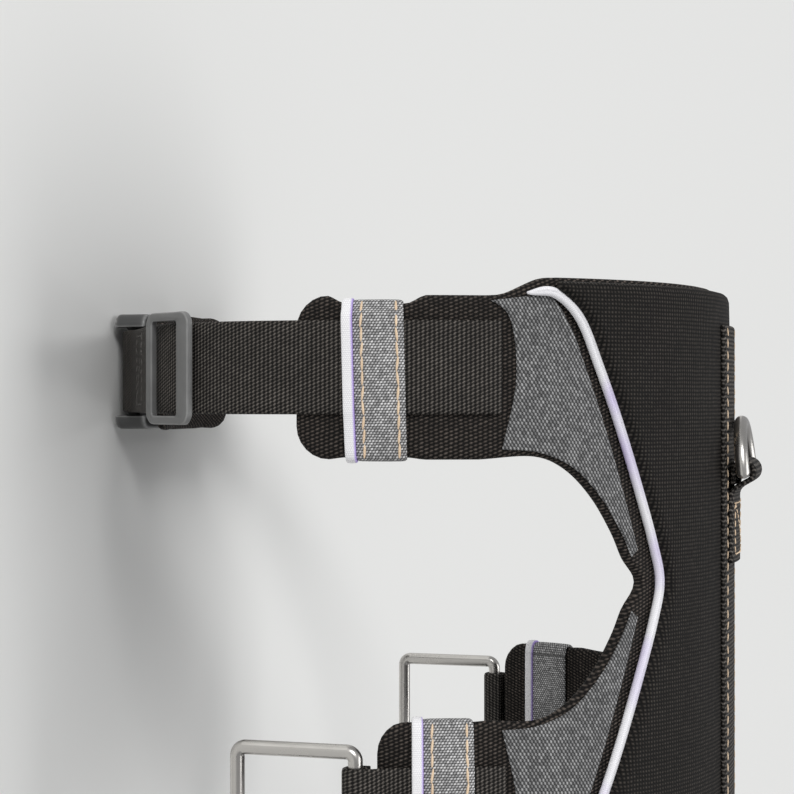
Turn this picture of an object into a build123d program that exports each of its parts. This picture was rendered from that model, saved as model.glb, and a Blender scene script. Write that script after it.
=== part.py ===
"""Padded walking harness for a medium dog: an X-shaped back plate, girth straps, a buckle and a breast band.

Millimetres. +X runs towards the head, +Y to the dog's left and +Z up. The origin is the centre of the
torso, in the plane of the girth strap. Heights h are measured outwards from the dog's coat.
"""

import os
from math import acos, asin, cos, degrees, hypot, pi, radians, sin

from build123d import *

# --- torso that the harness is made for (right half, angles from straight up, downwards) ---
TOP_RADIUS = 80.0
FLANK_RADIUS = 125.0
LOWER_RADIUS = 50.0
TOP_END = 61.5
FLANK_END = 92.5
LOWER_END = 150.0

# --- layers ---
PAD_THICK = 4.0
OVERLAY_THICK = 0.8
CORE_THICK = 5.0
WEB_WIDTH = 25.4
WEB_THICK = 1.6
PIPING = 2.8
LAYER_GAP = 0.2

# --- back plate, as seen along PLATE_VIEW: u across, x along the dog ---
PLATE_VIEW = 75.0
PLATE_MIDDLE_X = 60.0
PLATE_REAR_X = -23.3
LINER_BORDER = 1.3
ARM_REAR_X = -19.5
ARM_WIDTH = 44.4
REAR_PAD_END = 89.0
FRONT_PAD_END = 79.0
ARM_CORNER = 9.0

# --- hardware ---
WIRE = 4.0
D_RING_INSIDE = 25.0
D_RING_BACK_X = 30.0
D_RING_LIFT = 0.3
SQUARE_RING_ROOM = 4.1
SQUARE_RING_CORNER = 2.4
SQUARE_RING_TOP_Z = 0.0
SLIDER_LENGTH = 22.6
SLIDER_ROOM = 0.6
SLIDER_RAIL = 2.45
SLIDER_NEAR_BAR = 6.0
SLIDER_FAR_BAR = 3.2
SLIDER_CENTRE_BAR = 3.0
SLIDER_THICK = 2.0
SLIDER_CORNER = 3.8
SLIDER_WINDOW_CORNER = 1.0
SLIDER_GAP = 0.15
GIRTH_SLIDER_AT = 127.4
BREAST_SLIDER_AT = 25.0

# --- keepers ---
KEEPER_RIBBON = 13.1
KEEPER_EDGE = 3.0
KEEPER_THICK = 1.2
KEEPER_GAP = 0.5
REAR_KEEPER_U = -1.3
FRONT_KEEPER_U = 17.0

# --- buckle ---
BUCKLE_HALF = 28.0
BUCKLE_STRAP_ROOM = 1.0
BUCKLE_SIDE = 4.3
BUCKLE_THICK = 10.0
BUCKLE_BAR_FROM_END = 3.6
BUCKLE_BAR = 3.6
BUCKLE_WINDOW = 8.6
BUCKLE_WALL = 2.0
BUCKLE_SEAM_Y = 6.0
BUCKLE_GAP = 0.3
BUCKLE_CORNER = 4.0
BUCKLE_RAIL = 1.5
PRONG_TIP_GAP = 1.5
PRONG_ROOM = 0.6
PRONG_SIDE_ROOM = 2.0
TONGUE_GAP = 4.0
PRONG_WIDTH = 3.0
PRONG_THICK = 4.5
PRONG_HEAD = 9.0
TONGUE_WIDTH = 5.0
BUCKLE_PAD_HALF = 30.0
BUCKLE_PAD_WIDTH = 38.0

# --- breast band ---
BREAST_CORNER_RADIUS = 56.0
BREAST_CORNER_END = 65.0
BREAST_STRAIGHT = 10.0
BREAST_PAD_FROM = 52.0
BREAST_PAD_HEIGHT = 42.0
BREAST_PAD_CORNER = 12.0
BREAST_STRAP_SEWN = 14.0
LOOP_LENGTH = 20.0
LOOP_FOOT = 28.0
LOOP_ROOM = 0.8
SPINE_WEB_INSET = 10.0
TAIL_CLEAR = 1.0


class Track:
    """Plane curve of tangent lines and arcs that turn left, with heights measured to its right."""

    def __init__(self, start, heading, runs, place):
        self.place = place
        self.legs = []
        point, angle, total = start, heading, 0.0
        for length, radius in runs:
            self.legs.append((total, total + length, point, angle, radius))
            point, angle = self._along(point, angle, radius, length)
            total += length
        self.length = total

    @staticmethod
    def _along(point, angle, radius, length):
        if radius is None:
            return (point[0] + length * cos(angle), point[1] + length * sin(angle)), angle
        turned = angle + length / radius
        centre = (point[0] - radius * sin(angle), point[1] + radius * cos(angle))
        return (centre[0] + radius * sin(turned), centre[1] - radius * cos(turned)), turned

    def flat(self, s, h):
        """Point of the curve's plane at length s and height h."""
        for first, last, point, angle, radius in self.legs:
            if s <= last + 1e-9:
                break
        spot, way = self._along(point, angle, radius, s - first)
        return (spot[0] + h * sin(way), spot[1] - h * cos(way))

    def at(self, s, h, w=0.0):
        return self.place(*self.flat(s, h), w)

    def edges(self, s0, s1, h, w):
        """Edges of the curve at height h, from s0 to s1."""
        found = []
        for first, last, _, _, radius in self.legs:
            a, b = max(s0, first), min(s1, last)
            if b - a < 1e-6:
                continue
            if radius is None:
                found.append(Edge.make_line(self.at(a, h, w), self.at(b, h, w)))
            else:
                middle = self.at((a + b) / 2, h, w)
                found.append(Edge.make_three_point_arc(self.at(a, h, w), middle, self.at(b, h, w)))
        return found

    def strip(self, s0, s1, h0, h1, w0, w1):
        """Solid between two heights and two widths, from s0 to s1."""
        ends = [
            Edge.make_line(self.at(s, h0, w0), self.at(s, h1, w0))
            for s in (s0, s1)
        ]
        loop = Wire(self.edges(s0, s1, h0, w0) + self.edges(s0, s1, h1, w0) + ends)
        way = self.place(0, 0, w1) - self.place(0, 0, w0)
        return Solid.extrude(Face(loop), way)


def in_yz(p, q, w):
    return Vector(w, p, q)


def in_breast_plane(p, q, w):
    return Vector(p, q, w + BREAST_Z)


def left(shape):
    """The same piece on the dog's left."""
    return mirror(shape, Plane.XZ)


def normal(angle):
    return (-sin(radians(angle)), cos(radians(angle)))


def tangent_angle(centre, radius, point):
    """Angle at which a strap leaves a circle to run straight to a point, and the straight length."""
    dy, dz = point[0] - centre[0], point[1] - centre[1]
    far = hypot(dy, dz)
    polar = degrees(acos(dz / far))
    if dy > 0:
        polar = 360 - polar
    return polar - degrees(acos(radius / far)), (far**2 - radius**2) ** 0.5


# --- torso curve ---
BELLY_RADIUS = (
    TOP_RADIUS * sin(radians(TOP_END))
    + FLANK_RADIUS * (sin(radians(FLANK_END)) - sin(radians(TOP_END)))
    + LOWER_RADIUS * (sin(radians(LOWER_END)) - sin(radians(FLANK_END)))
) / sin(radians(LOWER_END))


def next_centre(centre, radius, following, angle):
    ny, nz = normal(angle)
    return (centre[0] + (radius - following) * ny, centre[1] + (radius - following) * nz)


def centres(top_z):
    top = (0.0, top_z)
    flank = next_centre(top, TOP_RADIUS, FLANK_RADIUS, TOP_END)
    lower = next_centre(flank, FLANK_RADIUS, LOWER_RADIUS, FLANK_END)
    return top, flank, lower, next_centre(lower, LOWER_RADIUS, BELLY_RADIUS, LOWER_END)


TOP_CENTRE_Z = (BELLY_RADIUS - TOP_RADIUS - centres(0.0)[3][1]) / 2
TOP_C, FLANK_C, LOWER_C, BELLY_C = centres(TOP_CENTRE_Z)
TOP_Z = TOP_CENTRE_Z + TOP_RADIUS
BOTTOM_Z = BELLY_C[1] - BELLY_RADIUS
TORSO = Track(
    (0.0, TOP_Z),
    pi,
    [
        (TOP_RADIUS * radians(TOP_END), TOP_RADIUS),
        (FLANK_RADIUS * radians(FLANK_END - TOP_END), FLANK_RADIUS),
        (LOWER_RADIUS * radians(LOWER_END - FLANK_END), LOWER_RADIUS),
        (BELLY_RADIUS * radians(180 - LOWER_END), BELLY_RADIUS),
    ],
    in_yz,
)


def reach(angle):
    """Length along the coat from the spine to the point that faces this way."""
    total, start = 0.0, 0.0
    arcs = ((TOP_RADIUS, TOP_END), (FLANK_RADIUS, FLANK_END), (LOWER_RADIUS, LOWER_END), (BELLY_RADIUS, 180))
    for radius, end in arcs:
        total += radius * radians(max(0.0, min(angle, end) - start))
        start = end
    return total


def flank_angle(u):
    """Facing angle of the flank at distance u across the plate's view."""
    return PLATE_VIEW - degrees(asin(u / (FLANK_RADIUS + PAD_THICK)))


# --- derived levels ---
WEB_LOW = PAD_THICK
WEB_HIGH = WEB_LOW + WEB_THICK
TAIL_HIGH = WEB_LOW - LAYER_GAP
TAIL_LOW = TAIL_HIGH - WEB_THICK
MIDLINE = WEB_LOW - LAYER_GAP / 2
CORE_TOP = PAD_THICK + CORE_THICK
HALF_WEB = WEB_WIDTH / 2
FRONT_ARM_X = 2 * PLATE_MIDDLE_X
RING_SPAN = WEB_WIDTH + SQUARE_RING_ROOM + WIRE
BUCKLE_WIDTH = WEB_WIDTH + 2 * (BUCKLE_STRAP_ROOM + BUCKLE_SIDE)
SLIDER_INSIDE = HALF_WEB + SLIDER_ROOM
SLIDER_WIDTH = 2 * (SLIDER_INSIDE + SLIDER_RAIL)
BREAST_Z = SQUARE_RING_TOP_Z - RING_SPAN / 2
RING_FRONT_X = FRONT_ARM_X + RING_SPAN / 2

# --- breast band curve, in a level plane through the middle of the square rings ---
BREAST_SIDE_Y = FLANK_C[0] - (FLANK_RADIUS**2 - (BREAST_Z - FLANK_C[1]) ** 2) ** 0.5
BREAST_FRONT_RADIUS = (
    -BREAST_SIDE_Y - BREAST_CORNER_RADIUS * (1 - cos(radians(BREAST_CORNER_END)))
) / cos(radians(BREAST_CORNER_END))
CORNER_LENGTH = BREAST_CORNER_RADIUS * radians(BREAST_CORNER_END)
FRONT_LENGTH = BREAST_FRONT_RADIUS * radians(90 - BREAST_CORNER_END)
BREAST = Track(
    (RING_FRONT_X, BREAST_SIDE_Y),
    0.0,
    [
        (BREAST_STRAIGHT, None),
        (CORNER_LENGTH, BREAST_CORNER_RADIUS),
        (FRONT_LENGTH, BREAST_FRONT_RADIUS),
    ],
    in_breast_plane,
)
BREAST_FRONT_X = BREAST.flat(BREAST.length, 0)[0]


def breast_reach(angle):
    return BREAST_STRAIGHT + BREAST_CORNER_RADIUS * radians(angle)


# --- outlines on the back plate, as (u, x), for the rear half; the front half mirrors them ---
CORE_EDGE = [
    (31.6, -20.1),
    (39.3, -20.2),
    (46.4, -13.5),
    (52.1, 0.0),
    (57.9, 15.7),
    (63.8, 33.8),
    (68.4, 49.2),
]
WAIST_U = 70.5
LINER_WAIST_U = 64.8
WEBBING_ROOT_U = 25.4
OVERLAY_ROOT = [(24.8, 22.2), (28.6, 3.5), (27.0, -13.1), (20.8, -18.7)]
OVERLAY_LOWER = [(34.7, 23.0), (44.1, 27.0), (52.1, 35.0), (58.3, 44.9)]
OVERLAY_TIP = (62.6, 51.5)
VIEW_PLANE = Plane(
    origin=(0, FLANK_C[0], FLANK_C[1]),
    x_dir=(1, 0, 0),
    z_dir=(0, *normal(PLATE_VIEW)),
)
SPINE_U = -FLANK_C[0] * cos(radians(PLATE_VIEW)) + (TOP_Z + CORE_TOP - FLANK_C[1]) * sin(radians(PLATE_VIEW))
PRISM = 400.0
MARGIN = 30.0
NEAR = 0.01
ROOT_TUCK = 2.0
FLARE_LENGTH = 20.0
FLARE_EASE = 0.6
PAD_END_MARGIN = 4.0
PAD_END_TILT = 1.5
CUTTER = 200.0


def across(points):
    """Points (u, x) of the front half that mirror those of the rear half, in reverse order."""
    return [(u, 2 * PLATE_MIDDLE_X - x) for u, x in reversed(points)]


def shifted(points, distance):
    """The same open curve moved sideways, away from the spine if distance is positive."""
    moved = []
    for i, (u, x) in enumerate(points):
        before, after = points[max(i - 1, 0)], points[min(i + 1, len(points) - 1)]
        du, dx = after[0] - before[0], after[1] - before[1]
        size = hypot(du, dx)
        moved.append((u - distance * dx / size, x + distance * du / size))
    return moved


FULL_EDGE = CORE_EDGE + [(WAIST_U, PLATE_MIDDLE_X)] + across(CORE_EDGE)


def outline_solid(curves):
    """Prism through the plate whose outline is a closed list of curves, each a list of (u, x)."""
    edges = []
    for i, curve in enumerate(curves):
        spots = [Vector(x, u, 0) for u, x in curve]
        edges.append(Edge.make_spline(spots) if len(spots) > 2 else Edge.make_line(*spots))
        following = curves[(i + 1) % len(curves)][0]
        gap = Vector(following[1], following[0], 0)
        if (gap - spots[-1]).length > 1e-6:
            edges.append(Edge.make_line(spots[-1], gap))
    return VIEW_PLANE.location * Solid.extrude(Face(Wire(edges)), Vector(0, 0, PRISM))


def curved_slab(h0, h1, last_angle):
    """Right half of the curved layer that the plate's pieces are cut from."""
    x0 = PLATE_REAR_X - MARGIN
    return TORSO.strip(0, reach(last_angle), h0, h1, x0, 2 * PLATE_MIDDLE_X - x0)


def whole(shape):
    """Right half joined to its mirror image across the spine."""
    return shape + left(shape)


def arm_end(pad_end):
    """Distance u at which an arm's pad ends."""
    return (FLANK_RADIUS + PAD_THICK) * sin(radians(PLATE_VIEW - pad_end))


def back_liner():
    rear_end, front_end = arm_end(REAR_PAD_END), arm_end(FRONT_PAD_END)
    arm_front_x = ARM_REAR_X + ARM_WIDTH
    rear_edge = PLATE_REAR_X - LINER_BORDER
    lower = shifted(OVERLAY_LOWER + [OVERLAY_TIP], LINER_BORDER)
    waist = (LINER_WAIST_U, PLATE_MIDDLE_X)
    root = OVERLAY_ROOT[-1][0]
    side = [(root - ROOT_TUCK, arm_front_x)] + lower + [waist] + across(lower)
    side += [(root - ROOT_TUCK, 2 * PLATE_MIDDLE_X - arm_front_x)]
    rear_flare = [
        (root, ARM_REAR_X),
        (root + 0.25 * FLARE_LENGTH, ARM_REAR_X - FLARE_EASE),
        (root + 0.7 * FLARE_LENGTH, rear_edge + FLARE_EASE),
        (root + FLARE_LENGTH, rear_edge),
    ]
    curves = [
        [(SPINE_U + MARGIN, rear_edge), rear_flare[-1]],
        list(reversed(rear_flare)),
        [(root, ARM_REAR_X), (rear_end, ARM_REAR_X)],
        [(rear_end, arm_front_x), side[0]],
        side,
        [side[-1], (front_end, 2 * PLATE_MIDDLE_X - arm_front_x)],
        [(front_end, 2 * PLATE_MIDDLE_X - ARM_REAR_X), (root, 2 * PLATE_MIDDLE_X - ARM_REAR_X)],
        across(list(reversed(rear_flare))),
        across([(SPINE_U + MARGIN, rear_edge), rear_flare[-1]]),
    ]
    half = outline_solid(curves) & curved_slab(0, PAD_THICK, REAR_PAD_END + PAD_END_MARGIN)
    ends = [
        edge
        for edge in half.edges()
        if abs(edge.length - PAD_THICK) < PAD_END_TILT
        and abs((edge @ 0).X - (edge @ 1).X) < NEAR
        and (VIEW_PLANE.to_local_coords(edge.center()).Y < root - FLARE_LENGTH / 2)
    ]
    return whole(fillet(ends, ARM_CORNER))


def back_core():
    edge = shifted(FULL_EDGE[1:-1], -(PIPING / 2 + LAYER_GAP))
    front = 2 * PLATE_MIDDLE_X - PLATE_REAR_X
    curves = [
        [(SPINE_U + MARGIN, PLATE_REAR_X), (edge[0][0], PLATE_REAR_X)],
        edge,
        [(edge[-1][0], front), (SPINE_U + MARGIN, front)],
    ]
    return whole(outline_solid(curves) & curved_slab(PAD_THICK, CORE_TOP, FLANK_END))


def piping():
    outer = shifted(FULL_EDGE, PIPING / 2)
    inner = shifted(FULL_EDGE, -PIPING / 2)
    ribbon = outline_solid([outer, list(reversed(inner))])
    return ribbon & curved_slab(PAD_THICK, PAD_THICK + PIPING, FLANK_END)


def overlay_rear():
    clear = shifted(CORE_EDGE, PIPING / 2 + LAYER_GAP)
    curves = [
        OVERLAY_ROOT,
        clear,
        [OVERLAY_TIP] + list(reversed(OVERLAY_LOWER)) + [OVERLAY_ROOT[0]],
    ]
    return outline_solid(curves) & curved_slab(PAD_THICK, PAD_THICK + OVERLAY_THICK, FLANK_END)


def overlay_front(rear):
    return mirror(rear, Plane(origin=(PLATE_MIDDLE_X, 0, 0), z_dir=(1, 0, 0)))


def webbing_start():
    """Length along the coat at which the arm's webbing meets the overlay."""
    return reach(flank_angle(WEBBING_ROOT_U))


# --- straps that leave a curve and end in an eye round a bar ---
BUCKLE_Z = BOTTOM_Z - PAD_THICK - BUCKLE_GAP - BUCKLE_THICK / 2
GIRTH_BAR = (-(BUCKLE_HALF - BUCKLE_BAR_FROM_END), BUCKLE_Z)
GIRTH_LEAVES, GIRTH_STRAIGHT = tangent_angle(LOWER_C, LOWER_RADIUS + MIDLINE, GIRTH_BAR)
RING_Y = BREAST_SIDE_Y - MIDLINE
RING_TOP = (RING_Y, SQUARE_RING_TOP_Z)
SHOULDER_LEAVES, SHOULDER_STRAIGHT = tangent_angle(FLANK_C, FLANK_RADIUS + MIDLINE, RING_TOP)


def with_straight(track_runs, start, heading, place, straight):
    return Track(start, heading, track_runs + [(straight, None)], place)


GIRTH = Track(
    (0.0, TOP_Z),
    pi,
    [
        (TOP_RADIUS * radians(TOP_END), TOP_RADIUS),
        (FLANK_RADIUS * radians(FLANK_END - TOP_END), FLANK_RADIUS),
        (LOWER_RADIUS * radians(GIRTH_LEAVES - FLANK_END), LOWER_RADIUS),
        (GIRTH_STRAIGHT, None),
    ],
    in_yz,
)
SHOULDER = Track(
    (0.0, TOP_Z),
    pi,
    [
        (TOP_RADIUS * radians(TOP_END), TOP_RADIUS),
        (FLANK_RADIUS * radians(SHOULDER_LEAVES - TOP_END), FLANK_RADIUS),
        (SHOULDER_STRAIGHT, None),
    ],
    in_yz,
)


def eye(track, s, bar_radius, w0, w1):
    """Webbing wrapped once round a bar whose centre lies on the strap's middle line at length s."""
    centre = track.at(s, MIDLINE, w0)
    way = track.place(0, 0, w1) - track.place(0, 0, w0)
    plane = Plane(origin=centre, z_dir=way)
    inner = bar_radius + LAYER_GAP / 2
    ring = Solid.make_cylinder(inner + WEB_THICK, way.length, plane)
    return ring - Solid.make_cylinder(inner, way.length, plane)


def eye_reach(bar_radius):
    """Distance from the bar's centre at which flat webbing meets the eye."""
    return bar_radius + WEB_THICK / 2


def girth_loop():
    bar = BUCKLE_BAR / 2
    s0, s1 = GIRTH.length - LOOP_LENGTH, GIRTH.length - eye_reach(bar)
    layers = GIRTH.strip(s0, s1, WEB_LOW, WEB_HIGH, -HALF_WEB, HALF_WEB)
    layers += GIRTH.strip(s0, s1, TAIL_LOW, TAIL_HIGH, -HALF_WEB, HALF_WEB)
    return layers + eye(GIRTH, GIRTH.length, bar, -HALF_WEB, HALF_WEB)


def girth_webbing():
    end = GIRTH.length - LOOP_LENGTH
    return GIRTH.strip(webbing_start(), end, WEB_LOW, WEB_HIGH, -HALF_WEB, HALF_WEB)


def girth_tail():
    start = reach(GIRTH_SLIDER_AT) + SLIDER_CENTRE_BAR / 2 + LAYER_GAP
    end = GIRTH.length - LOOP_LENGTH
    return GIRTH.strip(start, end, TAIL_LOW, TAIL_HIGH, -HALF_WEB, HALF_WEB)


def slider(plane):
    """Tri-glide lying on a strap: two side bars above the webbing and a centre bar below it.

    The plane's origin is on the webbing's outer face, its x axis runs along the strap, its z axis outwards.
    """
    drop = -(WEB_THICK + 2 * SLIDER_GAP + SLIDER_THICK)
    frame = extrude(RectangleRounded(SLIDER_LENGTH, SLIDER_WIDTH, SLIDER_CORNER), SLIDER_THICK)
    length = SLIDER_LENGTH - SLIDER_NEAR_BAR - SLIDER_FAR_BAR
    window = extrude(RectangleRounded(length, 2 * SLIDER_INSIDE, SLIDER_WINDOW_CORNER), SLIDER_THICK)
    frame -= Pos((SLIDER_NEAR_BAR - SLIDER_FAR_BAR) / 2, 0, 0) * window
    frame = Pos(0, 0, SLIDER_GAP) * frame
    top = SLIDER_GAP + SLIDER_THICK / 2
    for side in (-1, 1):
        post = Box(SLIDER_CENTRE_BAR + SLIDER_THICK, SLIDER_RAIL, top - drop)
        frame += Pos(0, side * (SLIDER_INSIDE + SLIDER_RAIL / 2), (drop + top) / 2) * post
    bar = Box(SLIDER_CENTRE_BAR, 2 * SLIDER_INSIDE + SLIDER_RAIL, SLIDER_THICK)
    frame += Pos(0, 0, drop + SLIDER_THICK / 2) * bar
    return plane.location * frame


def girth_slider():
    ny, nz = normal(GIRTH_SLIDER_AT)
    spot = TORSO.at(reach(GIRTH_SLIDER_AT), WEB_HIGH)
    return slider(Plane(origin=spot, x_dir=(0, -nz, ny), z_dir=(0, ny, nz)))


def breast_slider():
    angle = radians(BREAST_SLIDER_AT)
    spot = BREAST.at(breast_reach(BREAST_SLIDER_AT), WEB_HIGH)
    return slider(Plane(origin=spot, x_dir=(cos(angle), sin(angle), 0), z_dir=(sin(angle), -cos(angle), 0)))


def keeper_band(s0, s1, x0, x1, extra):
    """Band that wraps an arm's pad and webbing between two lengths along the coat."""
    low, high = -LAYER_GAP, WEB_HIGH + KEEPER_GAP
    side = KEEPER_GAP
    out = side + KEEPER_THICK
    outside = TORSO.strip(s0, s1, low - KEEPER_THICK, high + KEEPER_THICK + extra, x0 - out, x1 + out)
    return outside - TORSO.strip(s0 - 1, s1 + 1, low, high, x0 - side, x1 + side)


def keeper(u, rear):
    """Ribbon keeper and its bound lower edge, from distance u down the arm."""
    top = reach(flank_angle(u))
    x0 = ARM_REAR_X if rear else 2 * PLATE_MIDDLE_X - ARM_REAR_X - ARM_WIDTH
    x1 = x0 + ARM_WIDTH
    ribbon = keeper_band(top, top + KEEPER_RIBBON, x0, x1, 0.0)
    edge = keeper_band(top + KEEPER_RIBBON, top + KEEPER_RIBBON + KEEPER_EDGE, x0, x1, LAYER_GAP)
    return ribbon, edge


def shoulder_webbing():
    bar = WIRE / 2
    x0, x1 = FRONT_ARM_X - HALF_WEB, FRONT_ARM_X + HALF_WEB
    strap = SHOULDER.strip(webbing_start(), SHOULDER.length - eye_reach(bar), WEB_LOW, WEB_HIGH, x0, x1)
    return strap + eye(SHOULDER, SHOULDER.length, bar, x0, x1)


def wire_path(path, section_plane):
    return sweep(section_plane * Circle(WIRE / 2), path=path)


def square_ring():
    plane = Plane(origin=(FRONT_ARM_X, RING_Y, BREAST_Z), x_dir=(1, 0, 0), z_dir=(0, -1, 0))
    path = plane * RectangleRounded(RING_SPAN, RING_SPAN, SQUARE_RING_CORNER)
    wire = path.faces()[0].outer_wire()
    start = wire.edges()[0]
    return wire_path(wire, Plane(origin=start @ 0, z_dir=start % 0))


def breast_strap():
    bar = WIRE / 2
    end = breast_reach(BREAST_PAD_FROM) + BREAST_STRAP_SEWN
    strap = BREAST.strip(eye_reach(bar), end, WEB_LOW, WEB_HIGH, -HALF_WEB, HALF_WEB)
    return strap + eye(BREAST, 0, bar, -HALF_WEB, HALF_WEB)


def breast_tail():
    end = breast_reach(BREAST_SLIDER_AT) - SLIDER_CENTRE_BAR / 2 - LAYER_GAP
    start = WIRE / 2 + LAYER_GAP + WEB_THICK + TAIL_CLEAR
    return BREAST.strip(start, end, TAIL_LOW, TAIL_HIGH, -HALF_WEB, HALF_WEB)


def breast_liner():
    start = breast_reach(BREAST_PAD_FROM)
    half = BREAST_PAD_HEIGHT / 2
    pad = BREAST.strip(start, BREAST.length, 0, PAD_THICK, -half, half)
    corners = [e for e in pad.edges() if abs(e.length - PAD_THICK) < NEAR and abs((e @ 0).Y) > 1]
    return whole(fillet(corners, BREAST_PAD_CORNER))


def breast_cover():
    start = breast_reach(BREAST_PAD_FROM) + BREAST_STRAP_SEWN + LAYER_GAP
    half = BREAST_PAD_HEIGHT / 2 - PIPING - LINER_BORDER - LAYER_GAP
    return whole(BREAST.strip(start, BREAST.length, PAD_THICK, PAD_THICK + OVERLAY_THICK, -half, half))


def breast_webbing():
    start = breast_reach(BREAST_PAD_FROM) + BREAST_STRAP_SEWN + LAYER_GAP
    low = PAD_THICK + OVERLAY_THICK
    return whole(BREAST.strip(start, BREAST.length, low, low + WEB_THICK, -HALF_WEB, HALF_WEB))


def breast_piping(side):
    start = breast_reach(BREAST_PAD_FROM) + BREAST_STRAP_SEWN
    outer = side * (BREAST_PAD_HEIGHT / 2 - LINER_BORDER)
    inner = outer - side * PIPING
    low, high = min(outer, inner), max(outer, inner)
    return whole(BREAST.strip(start, BREAST.length, PAD_THICK, PAD_THICK + PIPING, low, high))


def d_ring(bar_centre, out, tilt):
    """D-shaped wire ring whose bar lies along Y and whose bow points along the direction out."""
    radius = (D_RING_INSIDE + WIRE) / 2
    plane = Plane(origin=(0, 0, 0), x_dir=(0, 1, 0), z_dir=Vector(0, 1, 0).cross(out))
    ends = [plane.from_local_coords((side * radius, 0, 0)) for side in (-1, 1)]
    bow = Edge.make_three_point_arc(ends[0], plane.from_local_coords((0, -radius, 0)), ends[1])
    if (bow @ 0.5).dot(out) < 0:
        bow = Edge.make_three_point_arc(ends[0], plane.from_local_coords((0, radius, 0)), ends[1])
    ring = sweep(Plane(origin=bow @ 0, z_dir=bow % 0) * Circle(WIRE / 2), path=bow)
    ring += Solid.make_cylinder(WIRE / 2, 2 * radius, Plane(origin=(0, -radius, 0), z_dir=(0, 1, 0)))
    for side in (-1, 1):
        ring += Pos(0, side * radius, 0) * Sphere(WIRE / 2)
    return Pos(*bar_centre) * (Rot(0, tilt, 0) * ring)


BACK_BAR = (D_RING_BACK_X, 0.0, TOP_Z + CORE_TOP + 2 * WEB_THICK + LAYER_GAP + WIRE / 2)
BREAST_LOOP_HIGH = PAD_THICK + OVERLAY_THICK + 2 * WEB_THICK + LAYER_GAP
FRONT_BAR = (BREAST_FRONT_X + BREAST_LOOP_HIGH + WIRE / 2, 0.0, BREAST_Z)


def d_ring_back():
    lift = WEB_THICK + LAYER_GAP - D_RING_LIFT
    tilt = degrees(asin(lift / ((D_RING_INSIDE + WIRE) / 2)))
    return d_ring(BACK_BAR, Vector(-1, 0, 0), -tilt)


def ring_tube(bar_centre, half_width):
    """Webbing wrapped round a D-ring's bar."""
    plane = Plane(origin=(bar_centre[0], -half_width, bar_centre[2]), z_dir=(0, 1, 0))
    inner = WIRE / 2 + LAYER_GAP
    return Solid.make_cylinder(inner + WEB_THICK, 2 * half_width, plane) - Solid.make_cylinder(
        inner, 2 * half_width, plane
    )


def bar_room(bar_centre, half_width):
    plane = Plane(origin=(bar_centre[0], -half_width, bar_centre[2]), z_dir=(0, 1, 0))
    return Solid.make_cylinder(WIRE / 2 + LAYER_GAP, 2 * half_width, plane)


def spine_webbing():
    x0 = PLATE_REAR_X + SPINE_WEB_INSET
    x1 = 2 * PLATE_MIDDLE_X - x0
    return whole(TORSO.strip(0, HALF_WEB, CORE_TOP, CORE_TOP + WEB_THICK, x0, x1))


def d_ring_loop():
    half = D_RING_INSIDE / 2 - LOOP_ROOM
    low = CORE_TOP + WEB_THICK
    foot = whole(TORSO.strip(0, half, low, low + WEB_THICK, D_RING_BACK_X, D_RING_BACK_X + LOOP_FOOT))
    tube = ring_tube(BACK_BAR, half)
    level = BACK_BAR[2] - WIRE / 2 - LAYER_GAP - WEB_THICK / 2
    below = Pos(D_RING_BACK_X, 0, level - CUTTER / 2) * Box(CUTTER, CUTTER, CUTTER)
    return (foot - bar_room(BACK_BAR, half)) + (tube - below)


def breast_ring_loop():
    half = D_RING_INSIDE / 2 - LOOP_ROOM
    low = PAD_THICK + OVERLAY_THICK + WEB_THICK
    s0 = BREAST.length - half
    foot = whole(BREAST.strip(s0, BREAST.length, low, low + WEB_THICK, -WIRE, HALF_WEB))
    tube = ring_tube(FRONT_BAR, half)
    level = FRONT_BAR[0] - WIRE / 2 - LAYER_GAP - WEB_THICK / 2
    behind = Pos(level - CUTTER / 2, 0, BREAST_Z) * Box(CUTTER, CUTTER, CUTTER)
    return (foot - bar_room(FRONT_BAR, half)) + (tube - behind)


# --- side-release buckle ---
def buckle_box(x_width, y0, y1, thick):
    return Pos(0, (y0 + y1) / 2, BUCKLE_Z) * Box(x_width, y1 - y0, thick)


def strap_end(y_end, inward):
    """Window and bar at the strap end of a buckle half, as (window to cut, bar to add)."""
    bar_y = y_end + inward * BUCKLE_BAR_FROM_END
    inside = WEB_WIDTH + 2 * BUCKLE_STRAP_ROOM
    y0 = y_end + inward * -1
    y1 = bar_y + inward * BUCKLE_WINDOW
    window = buckle_box(inside, min(y0, y1), max(y0, y1), BUCKLE_THICK + 2)
    plane = Plane(origin=(-BUCKLE_WIDTH / 2 + 1, bar_y, BUCKLE_Z), z_dir=(1, 0, 0))
    return window, Solid.make_cylinder(BUCKLE_BAR / 2, BUCKLE_WIDTH - 2, plane)


CAVITY_END_Y = -BUCKLE_HALF + BUCKLE_BAR_FROM_END + BUCKLE_WINDOW + BUCKLE_WALL
CAVITY_WIDTH = BUCKLE_WIDTH - 2 * BUCKLE_WALL - 2 * BUCKLE_RAIL
PRONG_TIP_Y = CAVITY_END_Y + PRONG_TIP_GAP


def buckle_female():
    body = buckle_box(BUCKLE_WIDTH, -BUCKLE_HALF, BUCKLE_SEAM_Y, BUCKLE_THICK)
    body = fillet(body.edges().filter_by(Axis.Z), BUCKLE_CORNER)
    window, bar = strap_end(-BUCKLE_HALF, 1)
    body -= window
    body += bar
    inside = PRONG_THICK + 2 * BUCKLE_GAP + PRONG_ROOM
    body -= buckle_box(CAVITY_WIDTH, CAVITY_END_Y, BUCKLE_SEAM_Y + 1, inside)
    y0 = CAVITY_END_Y + PRONG_TIP_GAP - 1
    return body - buckle_box(BUCKLE_WIDTH + 2, y0, y0 + PRONG_HEAD + PRONG_SIDE_ROOM, inside)


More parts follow.
